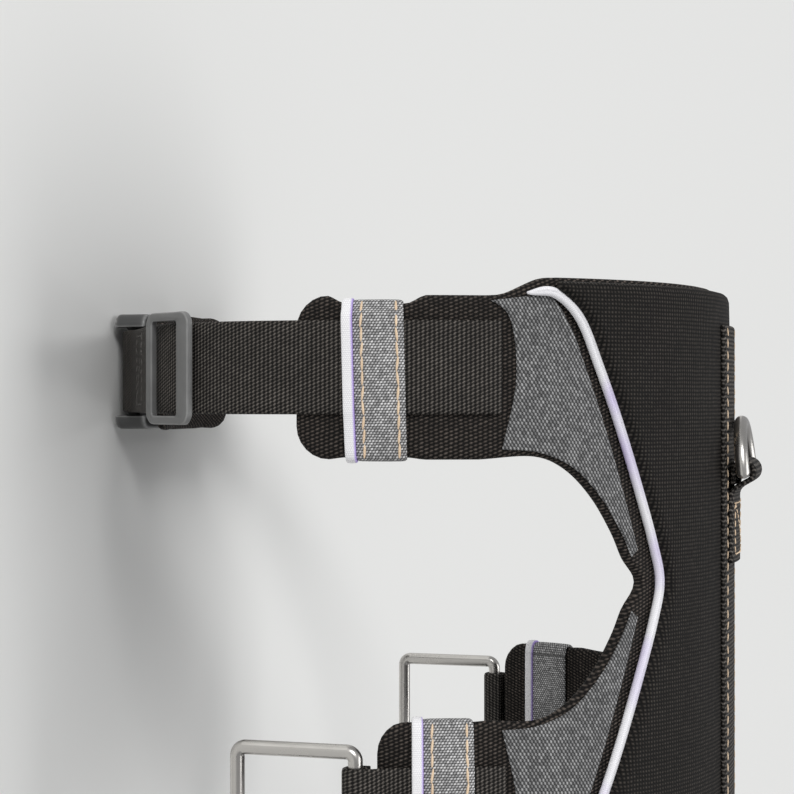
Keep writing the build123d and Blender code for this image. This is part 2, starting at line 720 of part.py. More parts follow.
def buckle_male():
    seam = BUCKLE_SEAM_Y + BUCKLE_GAP
    body = buckle_box(BUCKLE_WIDTH, seam, BUCKLE_HALF, BUCKLE_THICK)
    body = fillet(body.edges().filter_by(Axis.Z), BUCKLE_CORNER)
    window, bar = strap_end(BUCKLE_HALF, -1)
    body -= window
    body += bar
    tongue = buckle_box(TONGUE_WIDTH, CAVITY_END_Y + TONGUE_GAP, seam + 1, PRONG_THICK)
    return body + tongue


def buckle_prongs():
    seam = BUCKLE_SEAM_Y + BUCKLE_GAP
    arms = []
    for side in (-1, 1):
        middle = side * (CAVITY_WIDTH / 2 - BUCKLE_GAP - PRONG_WIDTH / 2)
        arm = Pos(middle, 0, 0) * buckle_box(PRONG_WIDTH, PRONG_TIP_Y, seam, PRONG_THICK)
        head_out = BUCKLE_WIDTH / 2 - BUCKLE_GAP
        head_in = CAVITY_WIDTH / 2 - BUCKLE_GAP - PRONG_WIDTH
        head = buckle_box(head_out - head_in, PRONG_TIP_Y, PRONG_TIP_Y + PRONG_HEAD, PRONG_THICK)
        arms.append(arm + Pos(side * (head_in + head_out) / 2, 0, 0) * head)
    return Compound(children=[solid for arm in arms for solid in arm.solids()])


def buckle_pad():
    half = BUCKLE_PAD_WIDTH / 2
    pad = TORSO.strip(TORSO.length - BUCKLE_PAD_HALF, TORSO.length, 0, PAD_THICK, -half, half)
    corners = [e for e in pad.edges() if abs(e.length - PAD_THICK) < NEAR and abs((e @ 0).Y) > 1]
    return whole(fillet(corners, ARM_CORNER))


def save(name, shape):
    export_step(shape, f"parts/{name}.step")


def save_pair(name, shape):
    """Writes a piece of the dog's right side and its mirror image."""
    save(f"{name}_right", shape)
    save(f"{name}_left", left(shape))


def main():
    os.makedirs("parts", exist_ok=True)
    save("back_liner", back_liner())
    save("back_core", back_core())
    save_pair("piping", piping())
    rear = overlay_rear()
    save_pair("overlay_rear", rear)
    save_pair("overlay_front", overlay_front(rear))
    save("spine_webbing", spine_webbing())
    save("d_ring_loop", d_ring_loop())
    save("d_ring_back", d_ring_back())
    save_pair("girth_webbing", girth_webbing())
    save_pair("girth_loop", girth_loop())
    save_pair("girth_tail", girth_tail())
    save_pair("girth_slider", girth_slider())
    for name, u, is_rear in (("rear", REAR_KEEPER_U, True), ("front", FRONT_KEEPER_U, False)):
        ribbon, edge = keeper(u, is_rear)
        save_pair(f"keeper_{name}", ribbon)
        save_pair(f"keeper_{name}_edge", edge)
    save_pair("shoulder_webbing", shoulder_webbing())
    save_pair("square_ring", square_ring())
    save_pair("breast_strap", breast_strap())
    save_pair("breast_tail", breast_tail())
    save_pair("breast_slider", breast_slider())
    save("breast_liner", breast_liner())
    save("breast_cover", breast_cover())
    save("breast_webbing", breast_webbing())
    save("breast_piping_upper", breast_piping(1))
    save("breast_piping_lower", breast_piping(-1))
    save("breast_ring_loop", breast_ring_loop())
    save("d_ring_front", d_ring(FRONT_BAR, Vector(0, 0, -1), 0.0))
    save("buckle_female", buckle_female())
    save("buckle_male", buckle_male())
    save("buckle_prongs", buckle_prongs())
    save("buckle_pad", buckle_pad())


if __name__ == "__main__":
    main()
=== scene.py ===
"""Looks of a padded dog walking harness: mesh plate, woven overlays, ribbed webbing, sliders and buckle."""
import logging
from dataclasses import dataclass, field
from enum import Enum
from functools import partial
from math import acos, asin, cos, degrees, exp, hypot, pi, radians, sin, sqrt, tan
from typing import Callable, Optional, Sequence

import bmesh
import bpy
import numpy as np
from mathutils import Matrix, Vector, geometry, kdtree


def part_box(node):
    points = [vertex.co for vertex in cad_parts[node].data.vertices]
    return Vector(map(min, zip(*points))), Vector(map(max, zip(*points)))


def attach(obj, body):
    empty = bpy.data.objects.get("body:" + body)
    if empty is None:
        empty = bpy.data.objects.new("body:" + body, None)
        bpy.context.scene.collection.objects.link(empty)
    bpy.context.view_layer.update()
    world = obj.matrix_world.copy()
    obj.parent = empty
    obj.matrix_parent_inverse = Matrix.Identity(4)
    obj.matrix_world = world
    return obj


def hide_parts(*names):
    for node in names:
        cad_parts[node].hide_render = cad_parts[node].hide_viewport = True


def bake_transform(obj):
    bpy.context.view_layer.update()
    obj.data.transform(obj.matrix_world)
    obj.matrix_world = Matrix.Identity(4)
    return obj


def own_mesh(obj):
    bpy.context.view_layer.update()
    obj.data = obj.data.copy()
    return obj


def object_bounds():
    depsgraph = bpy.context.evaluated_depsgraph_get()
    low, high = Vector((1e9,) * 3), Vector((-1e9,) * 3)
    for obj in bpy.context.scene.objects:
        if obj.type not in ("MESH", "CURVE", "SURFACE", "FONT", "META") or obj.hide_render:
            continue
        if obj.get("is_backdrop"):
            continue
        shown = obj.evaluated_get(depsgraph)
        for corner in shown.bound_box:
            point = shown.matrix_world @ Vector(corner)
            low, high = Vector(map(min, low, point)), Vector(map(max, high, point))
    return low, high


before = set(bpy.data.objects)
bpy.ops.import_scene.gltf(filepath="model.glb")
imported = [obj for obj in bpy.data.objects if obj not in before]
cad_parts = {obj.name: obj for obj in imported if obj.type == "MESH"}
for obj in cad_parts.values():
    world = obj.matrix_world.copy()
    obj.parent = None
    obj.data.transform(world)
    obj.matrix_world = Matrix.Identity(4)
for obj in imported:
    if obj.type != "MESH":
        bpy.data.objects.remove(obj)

log = logging.getLogger("harness")
MM = 0.001
Flat = tuple[float, float]
Surface = Callable[[float, float, float], Vector]
AHEAD, SIDEWAYS, UP = Vector((1, 0, 0)), Vector((0, 1, 0)), Vector((0, 0, 1))


# ---------------------------------------------------------------- sizes (millimetres)
@dataclass(frozen=True)
class Layers:
    """Thicknesses of the cloth layers, from the dog's coat outwards, and the sizes that the seams share.

    Gap is the room between a strap's two layers, sink how far a sewn piece presses into the one below, seam
    the distance of a row of stitches from its edge, and border the strip of liner left bare at the outside.
    """

    pad: float = 4.0
    overlay: float = 0.8
    core: float = 5.0
    web: float = 1.6
    web_width: float = 25.4
    gap: float = 0.2
    piping: float = 2.8
    wire: float = 4.0
    sink: float = 0.1
    seam: float = 2.4
    border: float = 1.3

    @property
    def half_web(self) -> float:
        """Half of the webbing's width."""
        return self.web_width / 2

    @property
    def middle(self) -> float:
        """Height of the middle line between a strap's two layers."""
        return self.pad - self.gap / 2

    @property
    def web_top(self) -> float:
        """Height of the webbing's outer face."""
        return self.pad + self.web


@dataclass(frozen=True)
class Torso:
    """Oval section of the chest, as arcs from the spine round to the belly."""

    radii: tuple[float, ...] = (80.0, 125.0, 50.0)
    ends: tuple[float, ...] = (61.5, 92.5, 150.0)
    view: float = 75.0

    @property
    def belly_radius(self) -> float:
        """Radius of the last arc, which closes the section on the middle plane."""
        total, start = 0.0, 0.0
        for radius, end in zip(self.radii, self.ends):
            total += radius * (sin(radians(end)) - sin(radians(start)))
            start = end
        return total / sin(radians(self.ends[-1]))

    @property
    def centres(self) -> list[Flat]:
        """Centres of the four arcs in the (y, z) plane."""
        radii = (*self.radii, self.belly_radius)
        spots = [(0.0, 0.0)]
        for i, end in enumerate(self.ends):
            ny, nz = normal(end)
            step = radii[i] - radii[i + 1]
            spots.append((spots[-1][0] + step * ny, spots[-1][1] + step * nz))
        lift = (radii[3] - radii[0] - spots[3][1]) / 2
        return [(y, z + lift) for y, z in spots]

    @property
    def top_z(self) -> float:
        """Height of the spine."""
        return self.centres[0][1] + self.radii[0]

    def reach(self, angle: float) -> float:
        """Length along the coat from the spine to the point that faces this way."""
        total, start = 0.0, 0.0
        for radius, end in zip((*self.radii, self.belly_radius), (*self.ends, 180.0)):
            total += radius * radians(max(0.0, min(angle, end) - start))
            start = end
        return total

    def reach_of(self, u: float, height: float) -> float:
        """Length along the coat of a point at distance u across the plate's own view.

        Args:
            u: distance across the view, positive towards the spine.
            height: height of the point above the coat.
        Returns:
            The length from the spine.
        """
        flank = self.radii[1] + height
        if u <= flank * sin(radians(self.view - self.ends[0])):
            return self.reach(self.view - degrees(asin(max(-1.0, u / flank))))
        shift = (self.radii[1] - self.radii[0]) * sin(radians(self.view - self.ends[0]))
        return self.reach(self.view - degrees(asin(min(1.0, (u - shift) / (self.radii[0] + height)))))


class Track:
    """Plane curve of tangent lines and arcs that turn left, with heights measured to its right."""

    def __init__(self, start: Flat, heading: float, runs: Sequence[tuple[float, Optional[float]]],
                 place: Callable[[float, float, float], Vector]) -> None:
        """Lays the runs end to end.

        Args:
            start: first point.
            heading: first direction, in radians.
            runs: pairs of length and radius, where a radius of None is a straight line.
            place: turns plane coordinates and a width into a point in space.
        """
        self.place = place
        self.legs = []
        point, angle, total = start, heading, 0.0
        for length, radius in runs:
            self.legs.append((total, total + length, point, angle, radius))
            point, angle = self._along(point, angle, radius, length)
            total += length
        self.length = total

    @staticmethod
    def _along(point: Flat, angle: float, radius: Optional[float], length: float) -> tuple[Flat, float]:
        """Point and heading after a length of one run."""
        if radius is None:
            return (point[0] + length * cos(angle), point[1] + length * sin(angle)), angle
        turned = angle + length / radius
        centre = (point[0] - radius * sin(angle), point[1] + radius * cos(angle))
        return (centre[0] + radius * sin(turned), centre[1] - radius * cos(turned)), turned

    def at(self, s: float, h: float, w: float = 0.0) -> Vector:
        """Point in metres at length s, height h and width w."""
        for first, last, point, angle, radius in self.legs:
            if s <= last + 1e-9:
                break
        spot, way = self._along(point, angle, radius, s - first)
        return self.place(spot[0] + h * sin(way), spot[1] - h * cos(way), w) * MM


def normal(angle: float) -> Flat:
    """Outward direction of the flank, in (y, z), that faces this way from straight up."""
    return (-sin(radians(angle)), cos(radians(angle)))


def in_yz(p: float, q: float, w: float) -> Vector:
    """Puts a girth point in space."""
    return Vector((w, p, q))


def tangent_angle(centre: Flat, radius: float, point: Flat) -> tuple[float, float]:
    """Angle at which a strap leaves a circle to run straight to a point, and the straight length."""
    dy, dz = point[0] - centre[0], point[1] - centre[1]
    far = hypot(dy, dz)
    polar = degrees(acos(dz / far))
    if dy > 0:
        polar = 360 - polar
    return polar - degrees(acos(radius / far)), sqrt(far**2 - radius**2)


LAYERS = Layers()
TORSO = Torso()
TORSO_RUNS = [(r * radians(b - a), r) for r, a, b in zip(TORSO.radii, (0.0, *TORSO.ends), TORSO.ends)]
BELLY_RUN = (TORSO.belly_radius * radians(180 - TORSO.ends[-1]), TORSO.belly_radius)
COAT = Track((0.0, TORSO.top_z), pi, TORSO_RUNS + [BELLY_RUN], in_yz)


def coat_at(s: float, x: float, h: float) -> Vector:
    """Point over the coat; a negative length is on the dog's left."""
    spot = COAT.at(abs(s), h, x)
    if s < 0:
        spot.y = -spot.y
    return spot


def eased(t: float) -> float:
    """Rises from 0 to 1 with soft ends and stays level on either side."""
    t = max(0.0, min(1.0, t))
    return t * t * (3 - 2 * t)


def placed(name: str, data: bpy.types.ID) -> bpy.types.Object:
    """Adds an object that holds this mesh, camera or light to the scene."""
    made = bpy.data.objects.new(name, data)
    bpy.context.scene.collection.objects.link(made)
    return made


# ---------------------------------------------------------------- finishes
def linear(hex_colour: str) -> tuple[float, float, float, float]:
    """Turns an sRGB hex colour into the linear colour that a shader takes."""
    parts = [int(hex_colour[i:i + 2], 16) / 255 for i in (1, 3, 5)]
    return (*[c / 12.92 if c <= 0.04045 else ((c + 0.055) / 1.055) ** 2.4 for c in parts], 1.0)


def add(tree: bpy.types.NodeTree, kind: str, inputs: Optional[dict] = None,
        **settings: object) -> bpy.types.Node:
    """Adds one node with its settings, values and links.

    Args:
        tree: the node tree.
        kind: the node's type.
        inputs: socket name or number to a value, to the socket that feeds it, or to a node, whose first
            output does.
        settings: the node's own properties.
    Returns:
        The node.
    """
    made = tree.nodes.new(kind)
    for key, value in settings.items():
        setattr(made, key, value)
    for key, value in (inputs or {}).items():
        if isinstance(value, bpy.types.Node):
            value = value.outputs[0]
        if isinstance(value, bpy.types.NodeSocket):
            tree.links.new(value, made.inputs[key])
        else:
            made.inputs[key].default_value = value
    return made


def bare_material(name: str) -> bpy.types.Material:
    """A material whose node tree is still empty."""
    material = bpy.data.materials.new(name)
    material.use_nodes = True
    material.node_tree.nodes.clear()
    return material


MATH = "ShaderNodeMath"
NOISE = "ShaderNodeTexNoise"
RANGE = "ShaderNodeMapRange"


class Weave(Enum):
    """How far each row of threads is moved along from the row before, in threads."""

    GRID = 0.0
    BRICK = 0.5


@dataclass(frozen=True)
class ClothFinish:
    """A woven, knitted or coated cloth, drawn in the millimetres of the piece's own cloth map.

    The threads are along by across in size and depth high. Their height paints the colour as well as the bump:
    the groove colour is painted shade in the grooves, and the crown colour a painted highlight on the thread
    tops. Peaks sharpen the crowns both ways, wander and zigzag bend the rows, and turn lays the weave at an
    angle. Patchy is how uneven the cloth is, and fleck how much one thread differs from the next. The tint,
    painted as the beads' coloured reflection on a reflective cloth, comes in spots of its size, or along the
    piece's edge up to fringe.
    """

    name: str
    weave: Weave
    along: float
    across: float
    groove_shade: str
    crown: str
    depth: float
    roughness: float
    peaks: tuple[float, float] = (1.0, 1.0)
    wander: float = 0.3
    zigzag: float = 0.0
    patchy: float = 0.25
    fleck: float = 0.35
    reflection_tint: str = ""
    reflection_tint_size: float = 0.0
    fringe: float = 0.0
    turn: float = 0.0
    wobble_scale: float = 260.0
    patch_scale: float = 75.0
    fibre_scale: float = 3200.0
    fibre_share: float = 0.25
    specular: float = 0.14

    def build(self) -> bpy.types.Material:
        """Makes the material.

        Returns:
            A material that reads the cloth map for its threads and object coordinates for its wear.
        """
        material = bare_material(self.name)
        node = partial(add, material.node_tree)
        place = node("ShaderNodeTexCoord").outputs["Object"]
        cloth = node("ShaderNodeUVMap", uv_map="cloth")
        turned = {"Vector": cloth, "Angle": radians(self.turn)}
        laid = node("ShaderNodeVectorRotate", turned, rotation_type="Z_AXIS")
        split = node("ShaderNodeSeparateXYZ", {0: laid}).outputs
        wobble = node(NOISE, {"Vector": place, "Scale": self.wobble_scale, "Detail": 2.0})
        centred = node(MATH, {0: wobble, 1: 0.5}, operation="SUBTRACT")
        shift = node(MATH, {0: centred, 1: self.wander}, operation="MULTIPLY")
        a, b = [node(MATH, {0: node(MATH, {0: spot, 1: shift}, operation="ADD"), 1: size}, operation="DIVIDE")
                for spot, size in ((split[0], self.along), (split[1], self.across))]
        row = node(MATH, {0: a}, operation="FLOOR")
        odd = node(MATH, {0: row, 1: 2.0}, operation="FLOORED_MODULO")
        stagger = node(MATH, {0: odd, 1: self.weave.value}, operation="MULTIPLY")
        b = node(MATH, {0: b, 1: stagger}, operation="ADD")
        height = self.threads(node, a, b)
        cell = node("ShaderNodeCombineXYZ", {0: row, 1: node(MATH, {0: b}, operation="FLOOR")})
        chance = node("ShaderNodeTexWhiteNoise", {"Vector": cell}, noise_dimensions="2D")
        patch = node(NOISE, {"Vector": place, "Scale": self.patch_scale, "Detail": 4.0})
        # Painted shade in the grooves and painted highlight on the crowns, from the thread height.
        light = height
        for source, share, drop in ((chance, self.fleck, self.fleck), (patch, 2 * self.patchy, self.patchy)):
            part = node(MATH, {0: source, 1: share}, operation="MULTIPLY")
            level = node(MATH, {0: 1.0 - drop, 1: part}, operation="ADD")
            light = node(MATH, {0: light, 1: level}, operation="MULTIPLY")
        factor = node("ShaderNodeClamp", {0: light})
        colours = {0: factor, 6: linear(self.groove_shade), 7: linear(self.crown)}
        colour = node("ShaderNodeMix", colours, data_type="RGBA").outputs[2]
        # Painted reflection: the beads' coloured glint, in spots or along one edge.
        if self.reflection_tint:
            if self.fringe:
                fade = {0: split[1], 1: self.fringe, 2: 0.1, 3: 0.0, 4: 0.9}
            else:
                spots = node(NOISE, {"Vector": place, "Scale": 1.0 / (self.reflection_tint_size * MM), "Detail": 1.0})
                fade = {0: spots, 1: 0.5, 2: 0.68, 3: 0.0, 4: 0.75}
            colours = {0: node(RANGE, fade), 6: colour, 7: linear(self.reflection_tint)}
            colour = node("ShaderNodeMix", colours, data_type="RGBA").outputs[2]
        fibre = node(NOISE, {"Vector": place, "Scale": self.fibre_scale, "Detail": 2.0})
        fuzz = node(MATH, {0: fibre, 1: self.fibre_share}, operation="MULTIPLY")
        relief = node(MATH, {0: height, 1: fuzz}, operation="ADD")
        bump = node("ShaderNodeBump", {"Height": relief, "Strength": 1.0, "Distance": self.depth * MM})
        shader = node("ShaderNodeBsdfPrincipled", {
            "Base Color": colour, "Roughness": self.roughness, "Normal": bump,
            "Specular IOR Level": self.specular})
        node("ShaderNodeOutputMaterial", {0: shader})
        return material

    def threads(self, node: Callable[..., bpy.types.Node], a: bpy.types.Node,
                b: bpy.types.Node) -> bpy.types.Node:
        """Height of the threads, from 0 in the grooves to 1 on the crowns.

        Args:
            node: adds a node to the material's tree.
            a: place along the cloth, counted in threads.
            b: place across it, counted in threads.
        Returns:
            The node that gives the height.
        """
        if self.zigzag:
            cycle = node(MATH, {0: b, 1: 2 * pi}, operation="MULTIPLY")
            lean = node(MATH, {0: cycle}, operation="SINE")
            bend = node(MATH, {0: lean, 1: self.zigzag}, operation="MULTIPLY")
            a = node(MATH, {0: a, 1: bend}, operation="ADD")
        ridges = []
        for spot, peak in zip((a, b), self.peaks):
            half_cycle = node(MATH, {0: spot, 1: pi}, operation="MULTIPLY")
            wave = node(MATH, {0: half_cycle}, operation="SINE")
            ridge = node(MATH, {0: wave}, operation="ABSOLUTE")
            ridges.append(node(MATH, {0: ridge, 1: peak}, operation="POWER"))
        return node(MATH, {0: ridges[0], 1: ridges[1]}, operation="MULTIPLY")


@dataclass(frozen=True)
class SolidFinish:
    """A moulded, drawn or cast surface with a fine grain, and a paler tone painted on its edges as a
    highlight.
    """

    name: str
    colour: str
    edge_highlight: str
    roughness: float
    grain: float
    grain_depth: float
    metallic: float = 0.0
    broad_scale: float = 160.0

    def build(self) -> bpy.types.Material:
        """Makes the material.

        Returns:
            A material whose grain follows object coordinates, and whose edges are painted paler as a
            highlight, unevenly by object coordinates.
        """
        material = bare_material(self.name)
        node = partial(add, material.node_tree)
        place = node("ShaderNodeTexCoord").outputs["Object"]
        fine = node(NOISE, {"Vector": place, "Scale": 1.0 / (self.grain * MM), "Detail": 3.0})
        broad = node(NOISE, {"Vector": place, "Scale": self.broad_scale, "Detail": 5.0})
        # Painted highlight: edges found by pointiness are painted towards the paler edge colour.
        edge = node("ShaderNodeNewGeometry").outputs["Pointiness"]
        edge_highlight_mask = node(RANGE, {0: edge, 1: 0.505, 2: 0.55, 3: 0.0, 4: 0.9})
        uneven = node(MATH, {0: 0.4, 1: broad}, operation="ADD")
        amount = node(MATH, {0: edge_highlight_mask, 1: uneven}, operation="MULTIPLY")
        colours = {0: amount, 6: linear(self.colour), 7: linear(self.edge_highlight)}
        colour = node("ShaderNodeMix", colours, data_type="RGBA").outputs[2]
        dullest = self.roughness * 1.2
        rough = node(RANGE, {0: broad, 1: 0.3, 2: 0.7, 3: self.roughness * 0.85, 4: dullest})
        bump = node("ShaderNodeBump", {"Height": fine, "Strength": 1.0, "Distance": self.grain_depth * MM})
        shader = node("ShaderNodeBsdfPrincipled", {
            "Base Color": colour, "Roughness": rough, "Normal": bump, "Metallic": self.metallic})
        node("ShaderNodeOutputMaterial", {0: shader})
        return material


# Nylon webbing, woven with heavy ribs across the strap. It shows as zigzag rows of short dashes, with painted
# shade in the dark grooves between them and a painted highlight on the dashes.
WEBBING = ClothFinish(
    "ribbed_nylon_webbing", Weave.BRICK, along=1.22, across=1.0, groove_shade="#090808", crown="#7c7670",
    depth=0.4, roughness=0.6, peaks=(2.4, 0.85), wander=0.3, zigzag=0.14)
# Polyester spacer mesh, knitted. It shows as black, with a brownish highlight painted on its small loops
# in staggered rows.
MESH = ClothFinish(
    "polyester_spacer_mesh", Weave.BRICK, along=1.3, across=1.05, groove_shade="#090808", crown="#6c635c",
    depth=0.35, roughness=0.7, peaks=(1.5, 2.4), wander=0.9, zigzag=0.12, patchy=0.3, fleck=0.5)
# The same knit, embossed over the plate's core. It shows as small raised pips in straight rows, with a
# highlight painted on their tops.
PIP_MESH = ClothFinish(
    "embossed_polyester_mesh", Weave.GRID, along=1.0, across=1.12, groove_shade="#090808", crown="#4c4742",
    depth=0.35, roughness=0.65, peaks=(2.0, 1.8), wander=0.4, patchy=0.3, fleck=0.4)
# Oxford polyester, woven and coated. It shows as mid grey with light and dark threads, laid on the slant; on
# top of their own tones, shade is painted in the grooves and a highlight on the crowns.
OXFORD = ClothFinish(
    "oxford_polyester_cloth", Weave.BRICK, along=0.92, across=0.98, groove_shade="#2a2a2b", crown="#bcbcbc",
    depth=0.28, roughness=0.62, peaks=(0.9, 1.0), wander=0.35, zigzag=-0.17, patchy=0.2, fleck=0.6, turn=32.0)
# Grosgrain ribbon, woven with fine dashes. It shows as paler grey, with shade painted in the grooves and a
# highlight on the dashes, and its thread is drawn a little coarser than the real one so that it shows at all.
RIBBON = ClothFinish(
    "grosgrain_ribbon", Weave.BRICK, along=0.72, across=0.86, groove_shade="#2c2c2d", crown="#f0efef",
    depth=0.2, roughness=0.5, peaks=(0.9, 0.8), wander=0.3, zigzag=0.07, patchy=0.4, fleck=0.55)
# Retro-reflective cloth, glass beads on a silvered back. It shows as near white, with a lilac glint painted
# along its folded edge as the beads' coloured reflection.
BEADED = ClothFinish(
    "retro_reflective_cloth", Weave.BRICK, along=0.55, across=0.55, groove_shade="#dcdadf", crown="#ffffff",
    depth=0.05, roughness=0.4, peaks=(0.5, 0.5), wander=0.3, patchy=0.08, fleck=0.12, reflection_tint="#a88ce0",
    reflection_tint_size=9.0, fringe=0.7)
# The same cloth rolled round a cord. It shows as near white, with lilac stretches painted as the beads'
# coloured reflection.
BEADED_CORD = ClothFinish(
    "retro_reflective_piping", Weave.BRICK, along=0.55, across=0.55, groove_shade="#e4e2ea", crown="#ffffff",
    depth=0.05, roughness=0.4, peaks=(0.5, 0.5), wander=0.3, patchy=0.05, fleck=0.1, reflection_tint="#b79ce8",
    reflection_tint_size=24.0)
# Bonded polyester thread, twisted. It shows as warm tan, slightly shiny, with a paler tone painted on its
# edges as a highlight.
THREAD = SolidFinish(
    "bonded_polyester_thread", "#c49f79", "#ecd3b4", roughness=0.5, grain=0.35, grain_depth=0.1)
# The same thread dyed near black, for seams that are not meant to show; its edges too are painted paler as a
# highlight.
DARK_THREAD = SolidFinish(
    "dark_polyester_thread", "#33312f", "#5a5754", roughness=0.5, grain=0.35, grain_depth=0.06)
# Acetal, injection moulded. It shows as dark grey satin, with a paler tone painted on its edges as a
# highlight.
ACETAL = SolidFinish("moulded_acetal", "#424242", "#9a9a99", roughness=0.4, grain=0.3, grain_depth=0.02)
# Welded steel wire with satin nickel plating. It shows as soft grey metal, with a paler tone painted on its
# edges as a highlight.
NICKEL = SolidFinish(
    "satin_nickel_steel", "#b9b6b2", "#dedbd6", roughness=0.28, grain=0.5, grain_depth=0.006, metallic=1.0)


class Wardrobe:
    """Holds one material for each finish, made the first time it is asked for."""

    def __init__(self) -> None:
        """Starts with no materials."""
        self.made: dict[str, bpy.types.Material] = {}

    def get(self, finish: ClothFinish | SolidFinish) -> bpy.types.Material:
        """The finish's material."""
        if finish.name not in self.made:
            self.made[finish.name] = finish.build()
        return self.made[finish.name]


WARDROBE = Wardrobe()


# ---------------------------------------------------------------- mesh making
def new_piece(name: str, verts: Sequence[Vector], faces: Sequence[Sequence[int]],
              uvs: Sequence[Flat], finish: ClothFinish) -> bpy.types.Object:
    """Makes an object from points and faces, with its normals outwards.

    Args:
        name: the piece's name.
        verts: points in metres.
        faces: corner numbers of each face.
        uvs: cloth map of each point, in millimetres.
        finish: what it is made of.
    Returns:
        The object, linked to the scene.
    """
    mesh = bpy.data.meshes.new(name)
    mesh.from_pydata([tuple(v) for v in verts], [], [tuple(f) for f in faces])
    layer = mesh.uv_layers.new(name="cloth")
    corners = np.zeros(len(mesh.loops), np.int32)
    mesh.loops.foreach_get("vertex_index", corners)
    layer.data.foreach_set("uv", np.asarray(uvs, np.float32)[corners].ravel())
    work = bmesh.new()
    work.from_mesh(mesh)
    bmesh.ops.recalc_face_normals(work, faces=work.faces)
    work.to_mesh(mesh)
    work.free()
    mesh.shade_smooth()
    mesh.materials.append(WARDROBE.get(finish))
    return placed(name, mesh)


def mirrored(piece: bpy.types.Object, name: str) -> bpy.types.Object:
    """The same piece on the other side of the dog's middle plane."""
    mesh = piece.data.copy()
    mesh.name = name
    mesh.transform(Matrix.Scale(-1, 4, (0, 1, 0)))
    mesh.flip_normals()
    return placed(name, mesh)


def curve_through(points: Sequence[Flat], step: float) -> list[Flat]:
    """Smooth open curve through a few points, sampled about every step."""
    spots = [Vector(p) for p in points]
    padded = [2 * spots[0] - spots[1], *spots, 2 * spots[-1] - spots[-2]]
    found: list[Flat] = []
    for before, a, b, after in zip(padded, padded[1:], padded[2:], padded[3:]):
        count = max(1, round((b - a).length / step))
        for i in range(count):
            t = i / count
            spot = 0.5 * (2 * a + (b - before) * t + (2 * before - 5 * a + 4 * b - after) * t**2
                          + (3 * a - before - 3 * b + after) * t**3)
            found.append((spot.x, spot.y))
    found.append(tuple(spots[-1]))
    return found


def evened(points: Sequence[Flat], step: float) -> list[Flat]:
    """Closed outline divided into runs no longer than a step."""
    found: list[Flat] = []
    for a, b in zip(points, [*points[1:], points[0]]):
        length = hypot(b[0] - a[0], b[1] - a[1])
        if length < step * 0.2:
            continue
        count = max(1, round(length / step))
        found += [(a[0] + (b[0] - a[0]) * i / count, a[1] + (b[1] - a[1]) * i / count) for i in range(count)]
    return found


def rounded_outline(half: float, wide: float, radius: float, steps: int = 7) -> list[Flat]:
    """Rectangle about the middle, of these half sizes, with rounded corners."""
    turns = [pi / 2 * k / steps for k in range(steps + 1)]
    corner = [(half - radius + radius * sin(turn), wide - radius + radius * cos(turn)) for turn in turns]
    quarter = corner + [(s, -w) for s, w in reversed(corner)]
    return quarter + [(-s, w) for s, w in reversed(quarter)]


def square_outline(half: float, wide: float) -> list[Flat]:
    """Rectangle about the middle, of these half sizes."""
    return [(-half, -wide), (half, -wide), (half, wide), (-half, wide)]


def inside(outline: np.ndarray, spots: np.ndarray) -> np.ndarray:
    """Which points lie within a closed outline."""
    within = np.zeros(len(spots), bool)
    x, y = spots[:, 0], spots[:, 1]
    for (x0, y0), (x1, y1) in zip(outline, np.roll(outline, -1, axis=0)):
        cross = (y0 > y) != (y1 > y)
        with np.errstate(divide="ignore", invalid="ignore"):
            within ^= cross & (x < (x1 - x0) * (y - y0) / (y1 - y0) + x0)
    return within


